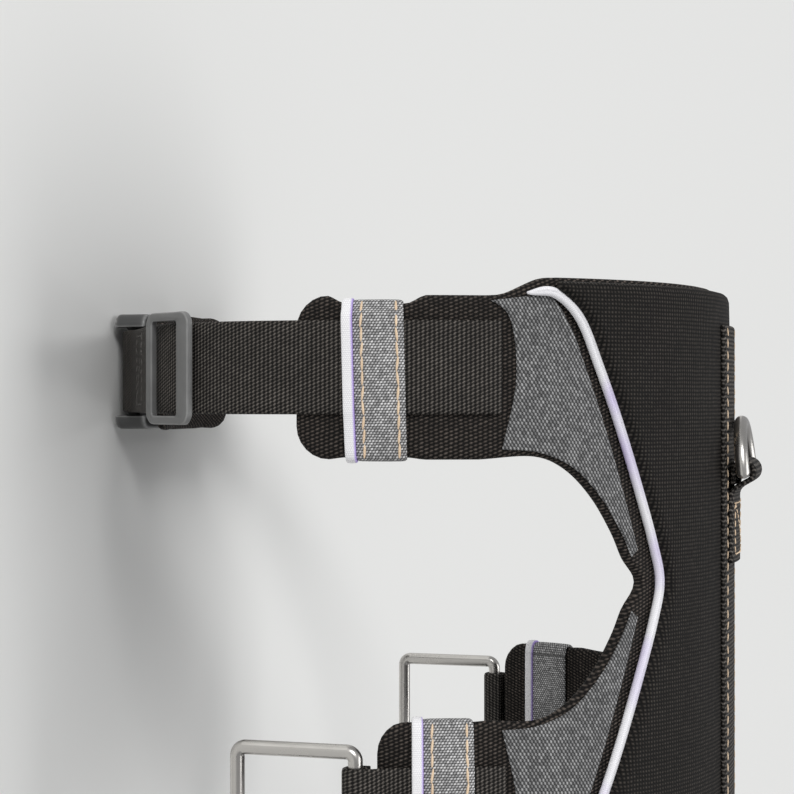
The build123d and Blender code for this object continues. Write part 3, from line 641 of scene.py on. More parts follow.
@dataclass
class Panel:
    """A flat-cut cloth or foam piece with rounded edges, laid over a curved surface.

    Low is the height of its underside, step the size of its faces, and edge how far in its rim is rounded.
    Crown is how much its middle stands proud, and ripple the height of its shallow waves.
    """

    name: str
    outline: list[Flat]
    surface: Surface
    low: float
    thick: float
    finish: ClothFinish
    step: float = 1.6
    edge: float = 1.0
    crown: float = 0.0
    ripple: float = 0.0
    crown_reach: float = 9.0
    rim_rings: tuple[float, ...] = (0.12, 0.45, 1.0)

    def build(self) -> bpy.types.Object:
        """Cuts, fills and lays the panel.

        Returns:
            A closed mesh with a cloth map in millimetres.
        """
        rim = np.array(evened(self.outline, self.step))
        rim_tree = kdtree.KDTree(len(rim))
        for i, (a, b) in enumerate(rim):
            rim_tree.insert((a, b, 0), i)
        rim_tree.balance()
        low, high = rim.min(0), rim.max(0)
        rows, columns = [np.arange(a, b, self.step) for a, b in zip(low, high)]
        grid = np.stack(np.meshgrid(rows, columns), -1).reshape(-1, 2)
        grid = grid[inside(rim, grid)]
        away = np.array([rim_tree.find((a, b, 0))[2] for a, b in grid])
        grid = grid[away > self.edge + 0.5 * self.step]
        rings = [self.inset(rim, self.edge * k) for k in self.rim_rings]
        rings = [r[inside(rim, r)] for r in rings]
        spots = np.vstack([rim, *rings, grid])
        count = len(rim)
        edges = [(i, (i + 1) % count) for i in range(count)]
        flat, _, faces, _, _, _ = geometry.delaunay_2d_cdt([Vector(p) for p in spots], edges, [], 1, 1e-5)
        verts: list[Vector] = []
        uvs: list[Flat] = []
        top: list[int] = []
        bottom: list[int] = []
        for i, spot in enumerate(flat):
            distance = rim_tree.find((spot.x, spot.y, 0))[2]
            t = min(1.0, distance / self.edge)
            rise = sqrt(max(0.0, 1 - (1 - t) ** 2)) if i >= count else 0.0
            puff = self.crown * (1 - exp(-distance / self.crown_reach))
            puff += self.ripple * sin(spot.x * 0.31 + 1.3 * sin(spot.y * 0.17)) * sin(spot.y * 0.23 + 0.9) * t
            middle = self.low + self.thick / 2
            top.append(len(verts))
            verts.append(self.surface(spot.x, spot.y, middle + (self.thick / 2 + puff) * rise))
            uvs.append((spot.x, spot.y))
            if rise > 0:
                verts.append(self.surface(spot.x, spot.y, middle - self.thick / 2 * rise))
                uvs.append((spot.x, spot.y))
                bottom.append(len(verts) - 1)
            else:
                bottom.append(top[-1])
        solid = [tuple(top[i] for i in f) for f in faces]
        solid += [tuple(bottom[i] for i in reversed(f)) for f in faces]
        return new_piece(self.name, verts, [f for f in solid if len(set(f)) > 2], uvs, self.finish)

    @staticmethod
    def inset(rim: np.ndarray, distance: float) -> np.ndarray:
        """The outline moved inwards."""
        along = np.roll(rim, -1, axis=0) - np.roll(rim, 1, axis=0)
        along /= np.linalg.norm(along, axis=1)[:, None] + 1e-9
        area = np.sum(rim[:, 0] * np.roll(rim[:, 1], -1) - np.roll(rim[:, 0], -1) * rim[:, 1])
        side = np.sign(area)
        return rim + side * distance * np.stack([-along[:, 1], along[:, 0]], -1)


def sleeve(rings: int, sides: int, closed: bool = False) -> list[tuple[int, ...]]:
    """Faces that join rings of points, one after the other.

    Args:
        rings: how many rings there are.
        sides: points in each ring.
        closed: whether the last ring joins the first, or both ends are capped.
    Returns:
        Corner numbers of each face.
    """
    faces = []
    for i in range(rings if closed else rings - 1):
        this, after = i * sides, (i + 1) % rings * sides
        for j in range(sides):
            k = (j + 1) % sides
            faces.append((this + j, this + k, after + k, after + j))
    if not closed:
        faces += [tuple(range(sides)), tuple(range((rings - 1) * sides, rings * sides))]
    return faces


def band(name: str, path: Sequence[Vector], across: Vector, width: float, thick: float,
         finish: ClothFinish, first: float = 0.0) -> bpy.types.Object:
    """A strap that follows a path, with soft rounded selvedges.

    Args:
        name: the piece's name.
        path: middle line of the strap, in metres.
        across: unit direction of its width.
        width: width in millimetres.
        thick: thickness in millimetres.
        finish: its cloth.
        first: cloth-map length at which it starts, so that two straps can share one pattern.
    Returns:
        A closed mesh.
    """
    half, up = width / 2 * MM, thick / 2 * MM
    round_in = up * 1.3
    section = [(-half, 0.0), (-half + round_in * 0.25, 0.72), (-half + round_in, 1.0)]
    section += [(k * half / 4, 1.0) for k in (-3, -2, -1, 0, 1, 2, 3)]
    section += [(-w, h) for w, h in reversed(section[:3])]
    section += [(w, -h) for w, h in reversed(section[1:-1])]
    verts: list[Vector] = []
    uvs: list[Flat] = []
    length = first
    for i, spot in enumerate(path):
        along = (path[min(i + 1, len(path) - 1)] - path[max(i - 1, 0)]).normalized()
        out = along.cross(across).normalized()
        if i:
            length += (spot - path[i - 1]).length / MM
        for w, h in section:
            verts.append(spot + across * w + out * (h * up))
            uvs.append((length, w / MM))
    return new_piece(name, verts, sleeve(len(path), len(section)), uvs, finish)


def tube(name: str, path: Sequence[Vector], radius: float, finish: ClothFinish,
         sides: int = 14) -> bpy.types.Object:
    """A round cord of cloth along a path, with its ends closed to a dome.

    Args:
        name: the piece's name.
        path: middle line of the cord, in metres.
        radius: radius in millimetres.
        finish: its cloth.
        sides: points round it.
    Returns:
        A closed mesh.
    """
    verts: list[Vector] = []
    uvs: list[Flat] = []
    side = UP
    length = 0.0
    last = len(path) - 1
    dome = 7
    for i, spot in enumerate(path):
        along = (path[min(i + 1, last)] - path[max(i - 1, 0)]).normalized()
        side = (side - along * side.dot(along)).normalized()
        up = along.cross(side)
        if i:
            length += (spot - path[i - 1]).length / MM
        near = min(i, last - i)
        size = radius * MM * (1 - 0.75 * (1 - min(1.0, near / dome)) ** 2)
        for k in range(sides):
            turn = 2 * pi * k / sides
            verts.append(spot + side * (cos(turn) * size) + up * (sin(turn) * size))
            uvs.append((length, radius * turn))
    return new_piece(name, verts, sleeve(len(path), sides), uvs, finish)


def remeshed(piece: bpy.types.Object, voxel: float) -> None:
    """Gives a piece a modifier that makes one even skin, with detail down to voxel millimetres."""
    remesh = piece.modifiers.new("remesh", "REMESH")
    remesh.mode = "VOXEL"
    remesh.voxel_size = voxel * MM


def moulded(node: str, finish: SolidFinish, voxel: float = 0.0, edge: float = 0.55) -> bpy.types.Object:
    """A copy of a hard CAD piece with its edges softened as a mould leaves them.

    Args:
        node: the CAD node to copy and stand for.
        finish: what it is moulded in.
        voxel: size of the detail kept in millimetres, or 0 to round every edge alike.
        edge: width of the rounding in millimetres, where every edge is rounded alike.
    Returns:
        The softened piece.
    """
    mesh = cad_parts[node].data.copy()
    mesh.name = node + "_moulded"
    mesh.materials.clear()
    mesh.materials.append(WARDROBE.get(finish))
    work = bmesh.new()
    work.from_mesh(mesh)
    bmesh.ops.remove_doubles(work, verts=work.verts, dist=0.01 * MM)
    if not voxel:
        bmesh.ops.dissolve_limit(work, angle_limit=radians(1.0), verts=work.verts, edges=work.edges)
    work.to_mesh(mesh)
    work.free()
    piece = placed(mesh.name, mesh)
    if voxel:
        remeshed(piece, voxel)
        soften = piece.modifiers.new("soften", "SMOOTH")
        soften.factor = 0.5
        soften.iterations = 9
    else:
        bevel = piece.modifiers.new("bevel", "BEVEL")
        bevel.width = edge * MM
        bevel.segments = 3
        bevel.limit_method = "ANGLE"
        bevel.angle_limit = radians(40.0)
    bake_modifiers(piece)
    piece.data.shade_smooth()
    if not voxel:
        piece.data.set_sharp_from_angle(angle=radians(38.0))
    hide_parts(node)
    return piece


def bake_modifiers(piece: bpy.types.Object) -> None:
    """Turns a piece's modifiers into its own mesh."""
    graph = bpy.context.evaluated_depsgraph_get()
    graph.update()
    mesh = bpy.data.meshes.new_from_object(piece.evaluated_get(graph), depsgraph=graph)
    mesh.name = piece.data.name
    piece.modifiers.clear()
    piece.data = mesh


@dataclass(frozen=True)
class Stitch:
    """A row's stitches: distance from one to the next, length, thickness of the thread, and the thread."""

    pitch: float
    length: float
    thickness: float
    thread: SolidFinish


# Straight rows along webbing, the longer stitch of the keepers, and the two box stitches.
EDGE_STITCH = Stitch(3.4, 2.7, 0.5, THREAD)
KEEPER_STITCH = Stitch(3.75, 4.2, 0.72, THREAD)
EYE_STITCH = Stitch(2.6, 2.1, 0.45, DARK_THREAD)
LOOP_STITCH = Stitch(2.5, 2.1, 0.5, THREAD)


class StitchMachine:
    """Sews rows of stitches with one Geometry Nodes tree; lean is how far a stitch strays, in radians."""

    lean = 0.13

    def __init__(self) -> None:
        """Builds the tree: a path in, one long bead per stitch out."""
        tree = bpy.data.node_groups.new("stitch_row", "GeometryNodeTree")
        face = tree.interface
        face.new_socket("Geometry", in_out="INPUT", socket_type="NodeSocketGeometry")
        sizes = [face.new_socket(name, in_out="INPUT", socket_type="NodeSocketFloat").identifier
                 for name in ("Pitch", "Stitch length", "Thread")]
        self.pitch, self.length, self.thread = sizes
        self.colour = face.new_socket("Material", in_out="INPUT", socket_type="NodeSocketMaterial").identifier
        face.new_socket("Geometry", in_out="OUTPUT", socket_type="NodeSocketGeometry")
        node = partial(add, tree)
        given = node("NodeGroupInput").outputs
        line = node("GeometryNodeMeshToCurve", {0: given[0]})
        even = node("GeometryNodeResampleCurve", {"Curve": line, "Length": given[1]}, mode="LENGTH")
        spots = node("GeometryNodeCurveToPoints", {"Curve": even}, mode="EVALUATED")
        bead = node("GeometryNodeMeshUVSphere", {"Segments": 8, "Rings": 6, "Radius": 0.5})
        turn = node("FunctionNodeAlignRotationToVector", {"Vector": spots.outputs["Tangent"]}, axis="Z")
        size = node("ShaderNodeCombineXYZ", {0: given[3], 1: given[3], 2: given[2]})
        sewn = node("GeometryNodeInstanceOnPoints", {
            "Points": spots, "Instance": bead, "Rotation": turn, "Scale": size})
        lean = self.lean
        bounds = {0: (-lean, -lean, 0.0), 1: (lean, lean, 0.0), "Seed": 5}
        slack = node("FunctionNodeRandomValue", bounds, data_type="FLOAT_VECTOR")
        loose = node("GeometryNodeRotateInstances", {0: sewn, "Rotation": slack})
        real = node("GeometryNodeRealizeInstances", {0: loose})
        dyed = node("GeometryNodeSetMaterial", {0: real, "Material": given[4]})
        smooth = node("GeometryNodeSetShadeSmooth", {0: dyed})
        node("NodeGroupOutput", {0: smooth})
        self.tree = tree

    def sew(self, name: str, rows: Sequence[Sequence[Vector]], stitch: Stitch) -> bpy.types.Object:
        """Sews one piece's rows.

        Args:
            name: the piece's name.
            rows: paths in metres.
            stitch: sizes and thread of the stitches.
        Returns:
            A plain mesh of every stitch.
        """
        verts: list[Vector] = []
        edges: list[tuple[int, int]] = []
        for row in rows:
            edges += [(len(verts) + i, len(verts) + i + 1) for i in range(len(row) - 1)]
            verts += row
        mesh = bpy.data.meshes.new(name)
        mesh.from_pydata([tuple(v) for v in verts], edges, [])
        piece = placed(name, mesh)
        modifier = piece.modifiers.new("stitches", "NODES")
        modifier.node_group = self.tree
        modifier[self.pitch] = stitch.pitch * MM
        modifier[self.length] = stitch.length * MM
        modifier[self.thread] = stitch.thickness * MM
        modifier[self.colour] = WARDROBE.get(stitch.thread)
        bake_modifiers(piece)
        return piece


MACHINE = StitchMachine()


def box_row(near: float, far: float, half: float, steps: int) -> list[Flat]:
    """A sewn box with one diagonal, as (length, width) points along a strap."""
    corners = [(near, -half), (near, half), (far, half), (far, -half), (near, -half), (far, half)]
    return [(a + (c - a) * k / steps, b + (d - b) * k / steps)
            for (a, b), (c, d) in zip(corners, corners[1:]) for k in range(steps)]


def finish_piece(piece: bpy.types.Object, body: str, slot: str, *nodes: str) -> bpy.types.Object:
    """Makes a piece ride on its body and stand for its CAD nodes."""
    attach(piece, body)
    if nodes:
        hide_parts(*nodes)
    log.info("%s: %d faces", piece.name, len(piece.data.polygons))
    return piece


def finish_pair(right: bpy.types.Object, slot: str, node: str = "") -> None:
    """Finishes a right-hand piece of the harness and its mirrored left twin.

    Args:
        right: the right-hand piece, with right in its name.
        slot: the material slot of both; not used.
        node: the CAD nodes' name without its side, or nothing for a piece that stands for no node.
    """
    left = mirrored(right, right.name.replace("right", "left"))
    for piece, side in ((right, "right"), (left, "left")):
        finish_piece(piece, "harness", slot, *([f"{node}_{side}"] if node else []))


def finish_returns(right: bpy.types.Object, strap: str, start: Vector, end: Vector,
                   slider_first: bool) -> None:
    """Finishes a strap's return layer and its slider on both sides of the dog.

    Args:
        right: the right-hand return layer.
        strap: girth or breast, as the CAD nodes say it.
        start: end of the layer nearest to the first body; not used.
        end: its other end; not used.
        slider_first: whether the start is at the slider, or at the strap's fixed end; not used.
    """
    left = mirrored(right, right.name.replace("right", "left"))
    for piece, side, sign in ((right, "right", 1), (left, "left", -1)):
        slider = f"{strap}_slider_{side}"
        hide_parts(f"{strap}_tail_{side}")
        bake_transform(piece)
        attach(moulded(slider, ACETAL), slider)


def inflate(piece: bpy.types.Object, voxel: float, cap: float) -> None:
    """Puffs a padded piece with a short cloth simulation, and applies it.

    Args:
        piece: the plain pad.
        voxel: remesh size in millimetres.
        cap: furthest that a point may move, in millimetres.
    """
    remeshed(piece, voxel)
    bake_modifiers(piece)
    rest = [v.co.copy() for v in piece.data.vertices]
    cloth = piece.modifiers.new("cloth", "CLOTH")
    cloth.settings.use_pressure = True
    cloth.settings.uniform_pressure_force = 4.0
    cloth.settings.effector_weights.gravity = 0.0
    cloth.settings.quality = 5
    for number in range(1, 21):
        bpy.context.scene.frame_set(number)
    bake_modifiers(piece)
    bpy.context.scene.frame_set(1)
    for vertex, start in zip(piece.data.vertices, rest):
        moved = vertex.co - start
        if moved.length > cap * MM:
            vertex.co = start + moved * (cap * MM / moved.length)
    round_off = piece.modifiers.new("round", "SUBSURF")
    round_off.levels = round_off.render_levels = 1
    bake_modifiers(piece)
    piece.data.shade_smooth()


# ---------------------------------------------------------------- back plate
def shifted(points: Sequence[Flat], distance: float) -> list[Flat]:
    """The same open curve moved sideways, away from the spine if distance is positive."""
    moved = []
    for i, (u, x) in enumerate(points):
        before, after = points[max(i - 1, 0)], points[min(i + 1, len(points) - 1)]
        du, dx = after[0] - before[0], after[1] - before[1]
        size = hypot(du, dx)
        moved.append((u - distance * dx / size, x + distance * du / size))
    return moved


@dataclass
class BackPlate:
    """X-shaped padded plate: liner, raised core, woven overlays, piping and spine webbing.

    Outlines are points (u, x), seen square to the flank: u runs towards the spine and x towards the head. Only
    the rear right quarter is drawn, and middle_x is where it is mirrored. Pad ends are angles round the chest.
    Pinch is how far a keeper draws in the rear and the front edge of an arm, and bare the liner left between
    an overlay and the piping.
    """

    middle_x: float = 60.0
    rear_x: float = -23.3
    arm_x: float = -19.5
    arm_width: float = 44.4
    rear_pad_end: float = 89.0
    front_pad_end: float = 79.0
    corner: float = 9.0
    waist_u: float = 70.5
    liner_waist_u: float = 64.8
    keeper_u: tuple[float, float] = (-1.3, 17.0)
    keeper_half: float = 8.0
    keeper_ease: float = 6.0
    pinch: tuple[float, float] = (2.3, 0.6)
    step: float = 1.5
    spine_inset: float = 10.0
    core_edge: list[Flat] = field(default_factory=lambda: [
        (31.6, -20.1), (39.3, -20.2), (46.4, -13.5), (52.1, 0.0), (57.9, 15.7), (63.8, 33.8), (68.4, 49.2)])
    overlay_root: list[Flat] = field(default_factory=lambda: [
        (24.8, 22.2), (28.6, 3.5), (27.0, -13.1), (20.8, -18.7)])
    overlay_lower: list[Flat] = field(default_factory=lambda: [
        (34.7, 23.0), (44.1, 27.0), (52.1, 35.0), (58.3, 44.9)])
    overlay_tip: Flat = (61.8, 52.5)
    bare: float = 1.6

    def across(self, points: Sequence[Flat]) -> list[Flat]:
        """Points of the front half that mirror those of the rear half, in reverse order."""
        return [(u, 2 * self.middle_x - x) for u, x in reversed(points)]

    def over_coat(self, points: Sequence[Flat], height: float) -> list[Flat]:
        """Turns view points (u, x) into cloth points (s, x)."""
        return [(TORSO.reach_of(u, height), x) for u, x in points]

    @property
    def full_edge(self) -> list[Flat]:
        """Line of the piping on the right, from the rear arm to the front arm."""
        return self.core_edge + [(self.waist_u, self.middle_x)] + self.across(self.core_edge)

    def arm_end(self, pad_end: float) -> float:
        """Distance u at which an arm's pad ends."""
        return (TORSO.radii[1] + LAYERS.pad) * sin(radians(TORSO.view - pad_end))

    def corner_arc(self, u: float, x: float, du: float, dx: float) -> list[Flat]:
        """Quarter round at a corner, from the side along u to the end along x."""
        r = self.corner
        spots = []
        for k in range(7):
            turn = pi / 2 * k / 6
            spots.append((u + du * r * (1 - sin(turn)), x + dx * r * (1 - cos(turn))))
        return spots

    def pinched(self, outline: Sequence[Flat]) -> list[Flat]:
        """The liner's outline drawn in a little under the keepers, whose ribbon pulls the padding tight."""
        drawn = []
        for u, x in outline:
            front = x > self.middle_x
            along = abs(u - (self.keeper_u[front] - self.keeper_half))
            pull = eased((self.keeper_half + self.keeper_ease - along) / self.keeper_ease)
            arm = 2 * self.middle_x - x if front else x
            amount = self.pinch[0] if arm < self.arm_x + self.arm_width / 2 else -self.pinch[1]
            drawn.append((u, x + pull * amount * (-1 if front else 1)))
        return drawn

    def liner_outline(self) -> list[Flat]:
        """Outline of the liner's right half in (u, x), from the rear of the spine to its front."""
        rear_end, front_end = self.arm_end(self.rear_pad_end), self.arm_end(self.front_pad_end)
        arm_front = self.arm_x + self.arm_width
        rear_edge = self.rear_x - LAYERS.border
        root = self.overlay_root[-1][0]
        flare = curve_through([
            (root, self.arm_x), (root + 5, self.arm_x - 0.6), (root + 14, rear_edge + 0.6),
            (root + 20, rear_edge)], self.step)
        lower = shifted([*self.overlay_lower, self.overlay_tip], LAYERS.border)
        root_edge = [(root - 2, arm_front)]
        waist = [(self.liner_waist_u, self.middle_x)]
        side = [*root_edge, *lower, *waist, *self.across(lower), *self.across(root_edge)]
        outline = flare[::-1]
        outline += [(root - k * self.step, self.arm_x) for k in range(1, 30)]
        outline += self.corner_arc(rear_end, self.arm_x, 1, 1)
        outline += self.corner_arc(rear_end, arm_front, 1, -1)[::-1]
        outline += [(root - 45 + k * self.step, arm_front) for k in range(2, 28)]
        outline += curve_through(side, self.step)
        outline += [(root - 3 - k * self.step, 2 * self.middle_x - arm_front) for k in range(1, 14)]
        outline += self.corner_arc(front_end, 2 * self.middle_x - arm_front, 1, 1)
        outline += self.corner_arc(front_end, 2 * self.middle_x - self.arm_x, 1, -1)[::-1]
        outline += [(root - 22 + k * self.step, 2 * self.middle_x - self.arm_x) for k in range(2, 14)]
        outline += self.across(flare[::-1])
        return self.pinched(outline)

    def both_sides(self, half: list[Flat]) -> list[Flat]:
        """Whole outline in (s, x) from the right half's."""
        return half + [(-s, x) for s, x in reversed(half)]

    def build(self) -> None:
        """Makes every piece of the plate."""
        outline = self.both_sides(self.over_coat(self.liner_outline(), LAYERS.pad))
        liner = Panel("back_liner_pad", outline, coat_at, 0.0, LAYERS.pad, MESH, edge=1.9, ripple=0.12)
        liner = finish_piece(liner.build(), "harness", "mesh_liner", "back_liner")
        edge = curve_through(shifted(self.full_edge[1:-1], -(LAYERS.piping / 2 + LAYERS.sink)), self.step)
        front = 2 * self.middle_x - self.rear_x
        rounded = [(edge[0][0], self.rear_x), *edge, (edge[-1][0], front)]
        half = [(0.5, self.rear_x), *self.over_coat(rounded, LAYERS.pad + 3), (0.5, front)]
        core = Panel("back_core_pad", self.both_sides(half), coat_at, LAYERS.pad - 0.3, LAYERS.core, PIP_MESH,
                     edge=2.6, crown=0.4)
        core = finish_piece(core.build(), "harness", "mesh_liner", "back_core")
        self.build_overlays()
        self.build_piping()
        self.build_spine()

    def build_overlays(self) -> None:
        """Makes the four woven overlays, whose edge leaves the piping towards the waist."""
        line = curve_through(self.core_edge, 1.2)
        near, far = shifted(line, LAYERS.piping / 2 - 0.6), shifted(line, LAYERS.piping / 2 + self.bare)
        fade = [min(1.0, max(0.0, (i - 4) / 9)) + 0.9 * i / len(line) for i in range(len(line))]
        clear = [(a[0] + (b[0] - a[0]) * t, a[1] + (b[1] - a[1]) * t) for a, b, t in zip(near, far, fade)]
        lower = curve_through([self.overlay_tip, *reversed(self.overlay_lower), self.overlay_root[0]], 1.2)
        root = curve_through(self.overlay_root, 1.2)
        outline = root[:-1] + clear + lower[:-1]
        for place, flip in (("rear", False), ("front", True)):
            turned = [(u, 2 * self.middle_x - x) if flip else (u, x) for u, x in outline]
            cut = self.over_coat(turned, LAYERS.pad + LAYERS.overlay / 2)
            sheet = Panel(f"overlay_{place}_cloth_right", cut, coat_at, LAYERS.pad - LAYERS.sink,
                          LAYERS.overlay, OXFORD, step=1.2, edge=0.5, ripple=0.05)
            finish_pair(sheet.build(), "grey_weave", f"overlay_{place}")

    def build_piping(self) -> None:
        """Makes the reflective piping that follows the core's edge on each side."""
        line = self.over_coat(curve_through(self.full_edge, 1.0), LAYERS.pad + 1.4)
        path = [coat_at(s, x, LAYERS.pad + LAYERS.piping / 2 - LAYERS.sink) for s, x in line]
        finish_pair(tube("piping_cord_right", path, LAYERS.piping / 2, BEADED_CORD), "reflective", "piping")

    def build_spine(self) -> None:
        """Makes the webbing along the spine with its two sewn rows."""
        low = LAYERS.pad + LAYERS.core - LAYERS.sink
        x0 = self.rear_x + self.spine_inset
        x1 = 2 * self.middle_x - x0
        half = LAYERS.half_web
        outline = [(-half, x0), (half, x0), (half, x1), (-half, x1)]
        strap = Panel("spine_strap", outline, coat_at, low, LAYERS.web, WEBBING, edge=0.8).build()
        for loop in strap.data.uv_layers[0].data:
            loop.uv = (loop.uv.y, loop.uv.x)
        finish_piece(strap, "harness", "black_webbing", "spine_webbing")
        places = [x0 + 2 + (x1 - x0 - 4) * k / 60 for k in range(61)]
        seam = half - LAYERS.seam
        rows = [[coat_at(s, x, low + LAYERS.web) for x in places] for s in (-seam, seam)]
        finish_piece(MACHINE.sew("spine_stitches", rows, EDGE_STITCH), "harness", "black_webbing")


# ---------------------------------------------------------------- straps
# Length over which a strap's layers part to go round a bar, spacing of the points there, and height of the
# return layer's middle.
EYE_LENGTH = 11.0
EYE_STEP = 0.9
RETURN_HEIGHT = 3.0


def strap_path(track: Track, s0: float, s1: float, h: float, w: float, step: float = 1.2) -> list[Vector]:
    """Points along a track at one height and width."""
    count = max(2, round(abs(s1 - s0) / step))
    return [track.at(s0 + (s1 - s0) * i / count, h, w) for i in range(count + 1)]


def eye_gap(near: float, bar_radius: float) -> float:
    """Distance of each layer from a strap's middle line, at the eye and before it.

    Args:
        near: how near the bar is, from 0 where the eye begins to 1 at the bar.
        bar_radius: radius of the bar.
    Returns:
        Half the layers' spacing, in millimetres.
    """
    flat = (LAYERS.web + LAYERS.gap) / 2
    return flat + bar_radius * eased(near)


def eye_path(track: Track, s0: float, bar_radius: float, w: float, back: float) -> list[Vector]:
    """Middle line of webbing that runs to the bar at the end of a track, round it and back.

    Args:
        track: the strap's track, whose middle line ends at the bar's centre.
        s0: length at which the path starts, on the outer layer.
        bar_radius: radius of the bar.
        w: width position.
        back: length of the inner layer after the bar.
    Returns:
        The points.
    """
    end = track.length

    def layer(s: float, side: int) -> Vector:
        """Point of the outer layer (side 1) or of the inner one (side -1)."""
        return track.at(s, LAYERS.middle + side * eye_gap((s - end) / EYE_LENGTH + 1, bar_radius), w)

    start = track.at(end, LAYERS.middle, w)
    along = (start - track.at(end - 1, LAYERS.middle, w)).normalized()
    out = (track.at(end, LAYERS.middle + 1, w) - start).normalized()
    count = max(2, round((end - s0) / EYE_STEP))
    outer = [layer(s0 + (end - s0) * k / count, 1) for k in range(count)]
    reach = eye_gap(1.0, bar_radius) * MM
    bow = [start + (out * cos(pi * k / 12) + along * sin(pi * k / 12)) * reach for k in range(13)]
    steps = max(2, round(back / EYE_STEP))
    return outer + bow + [layer(end - back * k / steps, -1) for k in range(1, steps + 1)]


@dataclass
class Keeper:
    """Ribbon that wraps an arm's pad and webbing, with one reflective bound edge.

    It sits at u across the plate's view, between the pad's edges x0 and x1, over webbing centred on web_x, and
    it leans by that many millimetres from one edge to the other.
    """

    place: str
    u: float
    x0: float
    x1: float
    web_x: float
    ribbon: float = 13.1
    bound: float = 3.0
    thick: float = 1.0
    lean: float = 1.0

    def section(self, extra: float) -> list[Flat]:
        """Closed line round the arm in (x, h), over the webbing and round both edges of the pad."""
        top = LAYERS.web_top + 0.75 + extra
        shoulder = LAYERS.pad + 0.9 + extra
        low = -0.7 - extra
        inner, outer = LAYERS.half_web - 0.8, LAYERS.half_web + 1.5
        web = LAYERS.half_web - 1.5
        spots = [
            (self.x0 + 2.5, low), (self.x0 + 0.2 - extra, low + 0.8), (self.x0 - 0.55 - extra, 1.8),
            (self.x0 - 0.1, shoulder - 1.1), (self.x0 + 1.8, shoulder - 0.1),
            (self.web_x - outer, top - 0.5), (self.web_x - inner, top - 0.05)]
        spots += [(self.web_x - web + k * 2 * web / 8, top) for k in range(1, 8)]
        spots += [
            (self.web_x + inner, top - 0.05), (self.web_x + outer, top - 0.5),
            (self.x1 - 1.8, shoulder - 0.1), (self.x1 + 0.1, shoulder - 1.1),
            (self.x1 + 0.55 + extra, 1.8), (self.x1 - 0.2 + extra, low + 0.8), (self.x1 - 2.5, low)]
        spots += [(self.x1 - 2.5 - k * (self.x1 - self.x0 - 5) / 8, low) for k in range(1, 8)]
        return curve_through([*spots, spots[0]], 0.7)[:-1]

    def slant(self, x: float) -> float:
        """How far along the arm the band leans at a place across it."""
        return self.lean * (x - (self.x0 + self.x1) / 2) / (self.x1 - self.x0)

    def wrap(self, name: str, s0: float, width: float, extra: float, thick: float,
             finish: ClothFinish) -> bpy.types.Object:
        """Makes one closed band of cloth round the arm.

        Args:
            name: the piece's name.
            s0: length along the coat at which the band starts.
            width: its width.
            extra: its height over the ribbon.
            thick: its thickness.
            finish: its cloth.
        Returns:
            A closed mesh.
        """
        line = self.section(extra)
        edge = [(0.0, 0.0), (0.04, 0.75), (0.12, 1.0), (0.3, 1.06)]
        profile = [*edge, (0.5, 1.08), *[(1 - t, lift) for t, lift in reversed(edge)]]
        profile += [(t, -1.0) for t in (0.96, 0.5, 0.04)]
        verts: list[Vector] = []
        uvs: list[Flat] = []
        length = 0.0
        for i, (x, h) in enumerate(line):
            before, after = line[i - 1], line[(i + 1) % len(line)]
            dx, dh = after[0] - before[0], after[1] - before[1]
            size = hypot(dx, dh)
            if i:
                length += hypot(x - before[0], h - before[1])
            for t, lift in profile:
                out = thick / 2 * lift
                along = s0 + t * width - self.slant(x)
                verts.append(coat_at(along, x - out * dh / size, h + out * dx / size))
                uvs.append((length, t * width))
        return new_piece(name, verts, sleeve(len(line), len(profile), closed=True), uvs, finish)

    def build(self) -> None:
        """Makes the ribbon, its bound edge and two rows of stitches, on both sides of the dog."""
        top = TORSO.reach_of(self.u, LAYERS.pad)
        name = f"keeper_{self.place}"
        ribbon = self.wrap(f"{name}_ribbon_right", top, self.ribbon + 0.4, 0.0, self.thick, RIBBON)
        bound_at, bound_thick = top + self.ribbon, self.thick + 0.7
        edge = self.wrap(f"{name}_binding_right", bound_at, self.bound, 0.12, bound_thick, BEADED)
        face = sorted(spot for spot in self.section(self.thick / 2 + 0.04)
                      if spot[1] > 3.6 and self.x0 + 0.9 < spot[0] < self.x1 - 0.9)
        rows = [[coat_at(top + inset - self.slant(x), x, h) for x, h in face]
                for inset in (1.9, self.ribbon - 2.2)]
        stitches = MACHINE.sew(f"{name}_stitches_right", rows, KEEPER_STITCH)
        finish_pair(ribbon, "grey_ribbon", name)
        finish_pair(edge, "reflective", f"{name}_edge")
        finish_pair(stitches, "grey_ribbon")


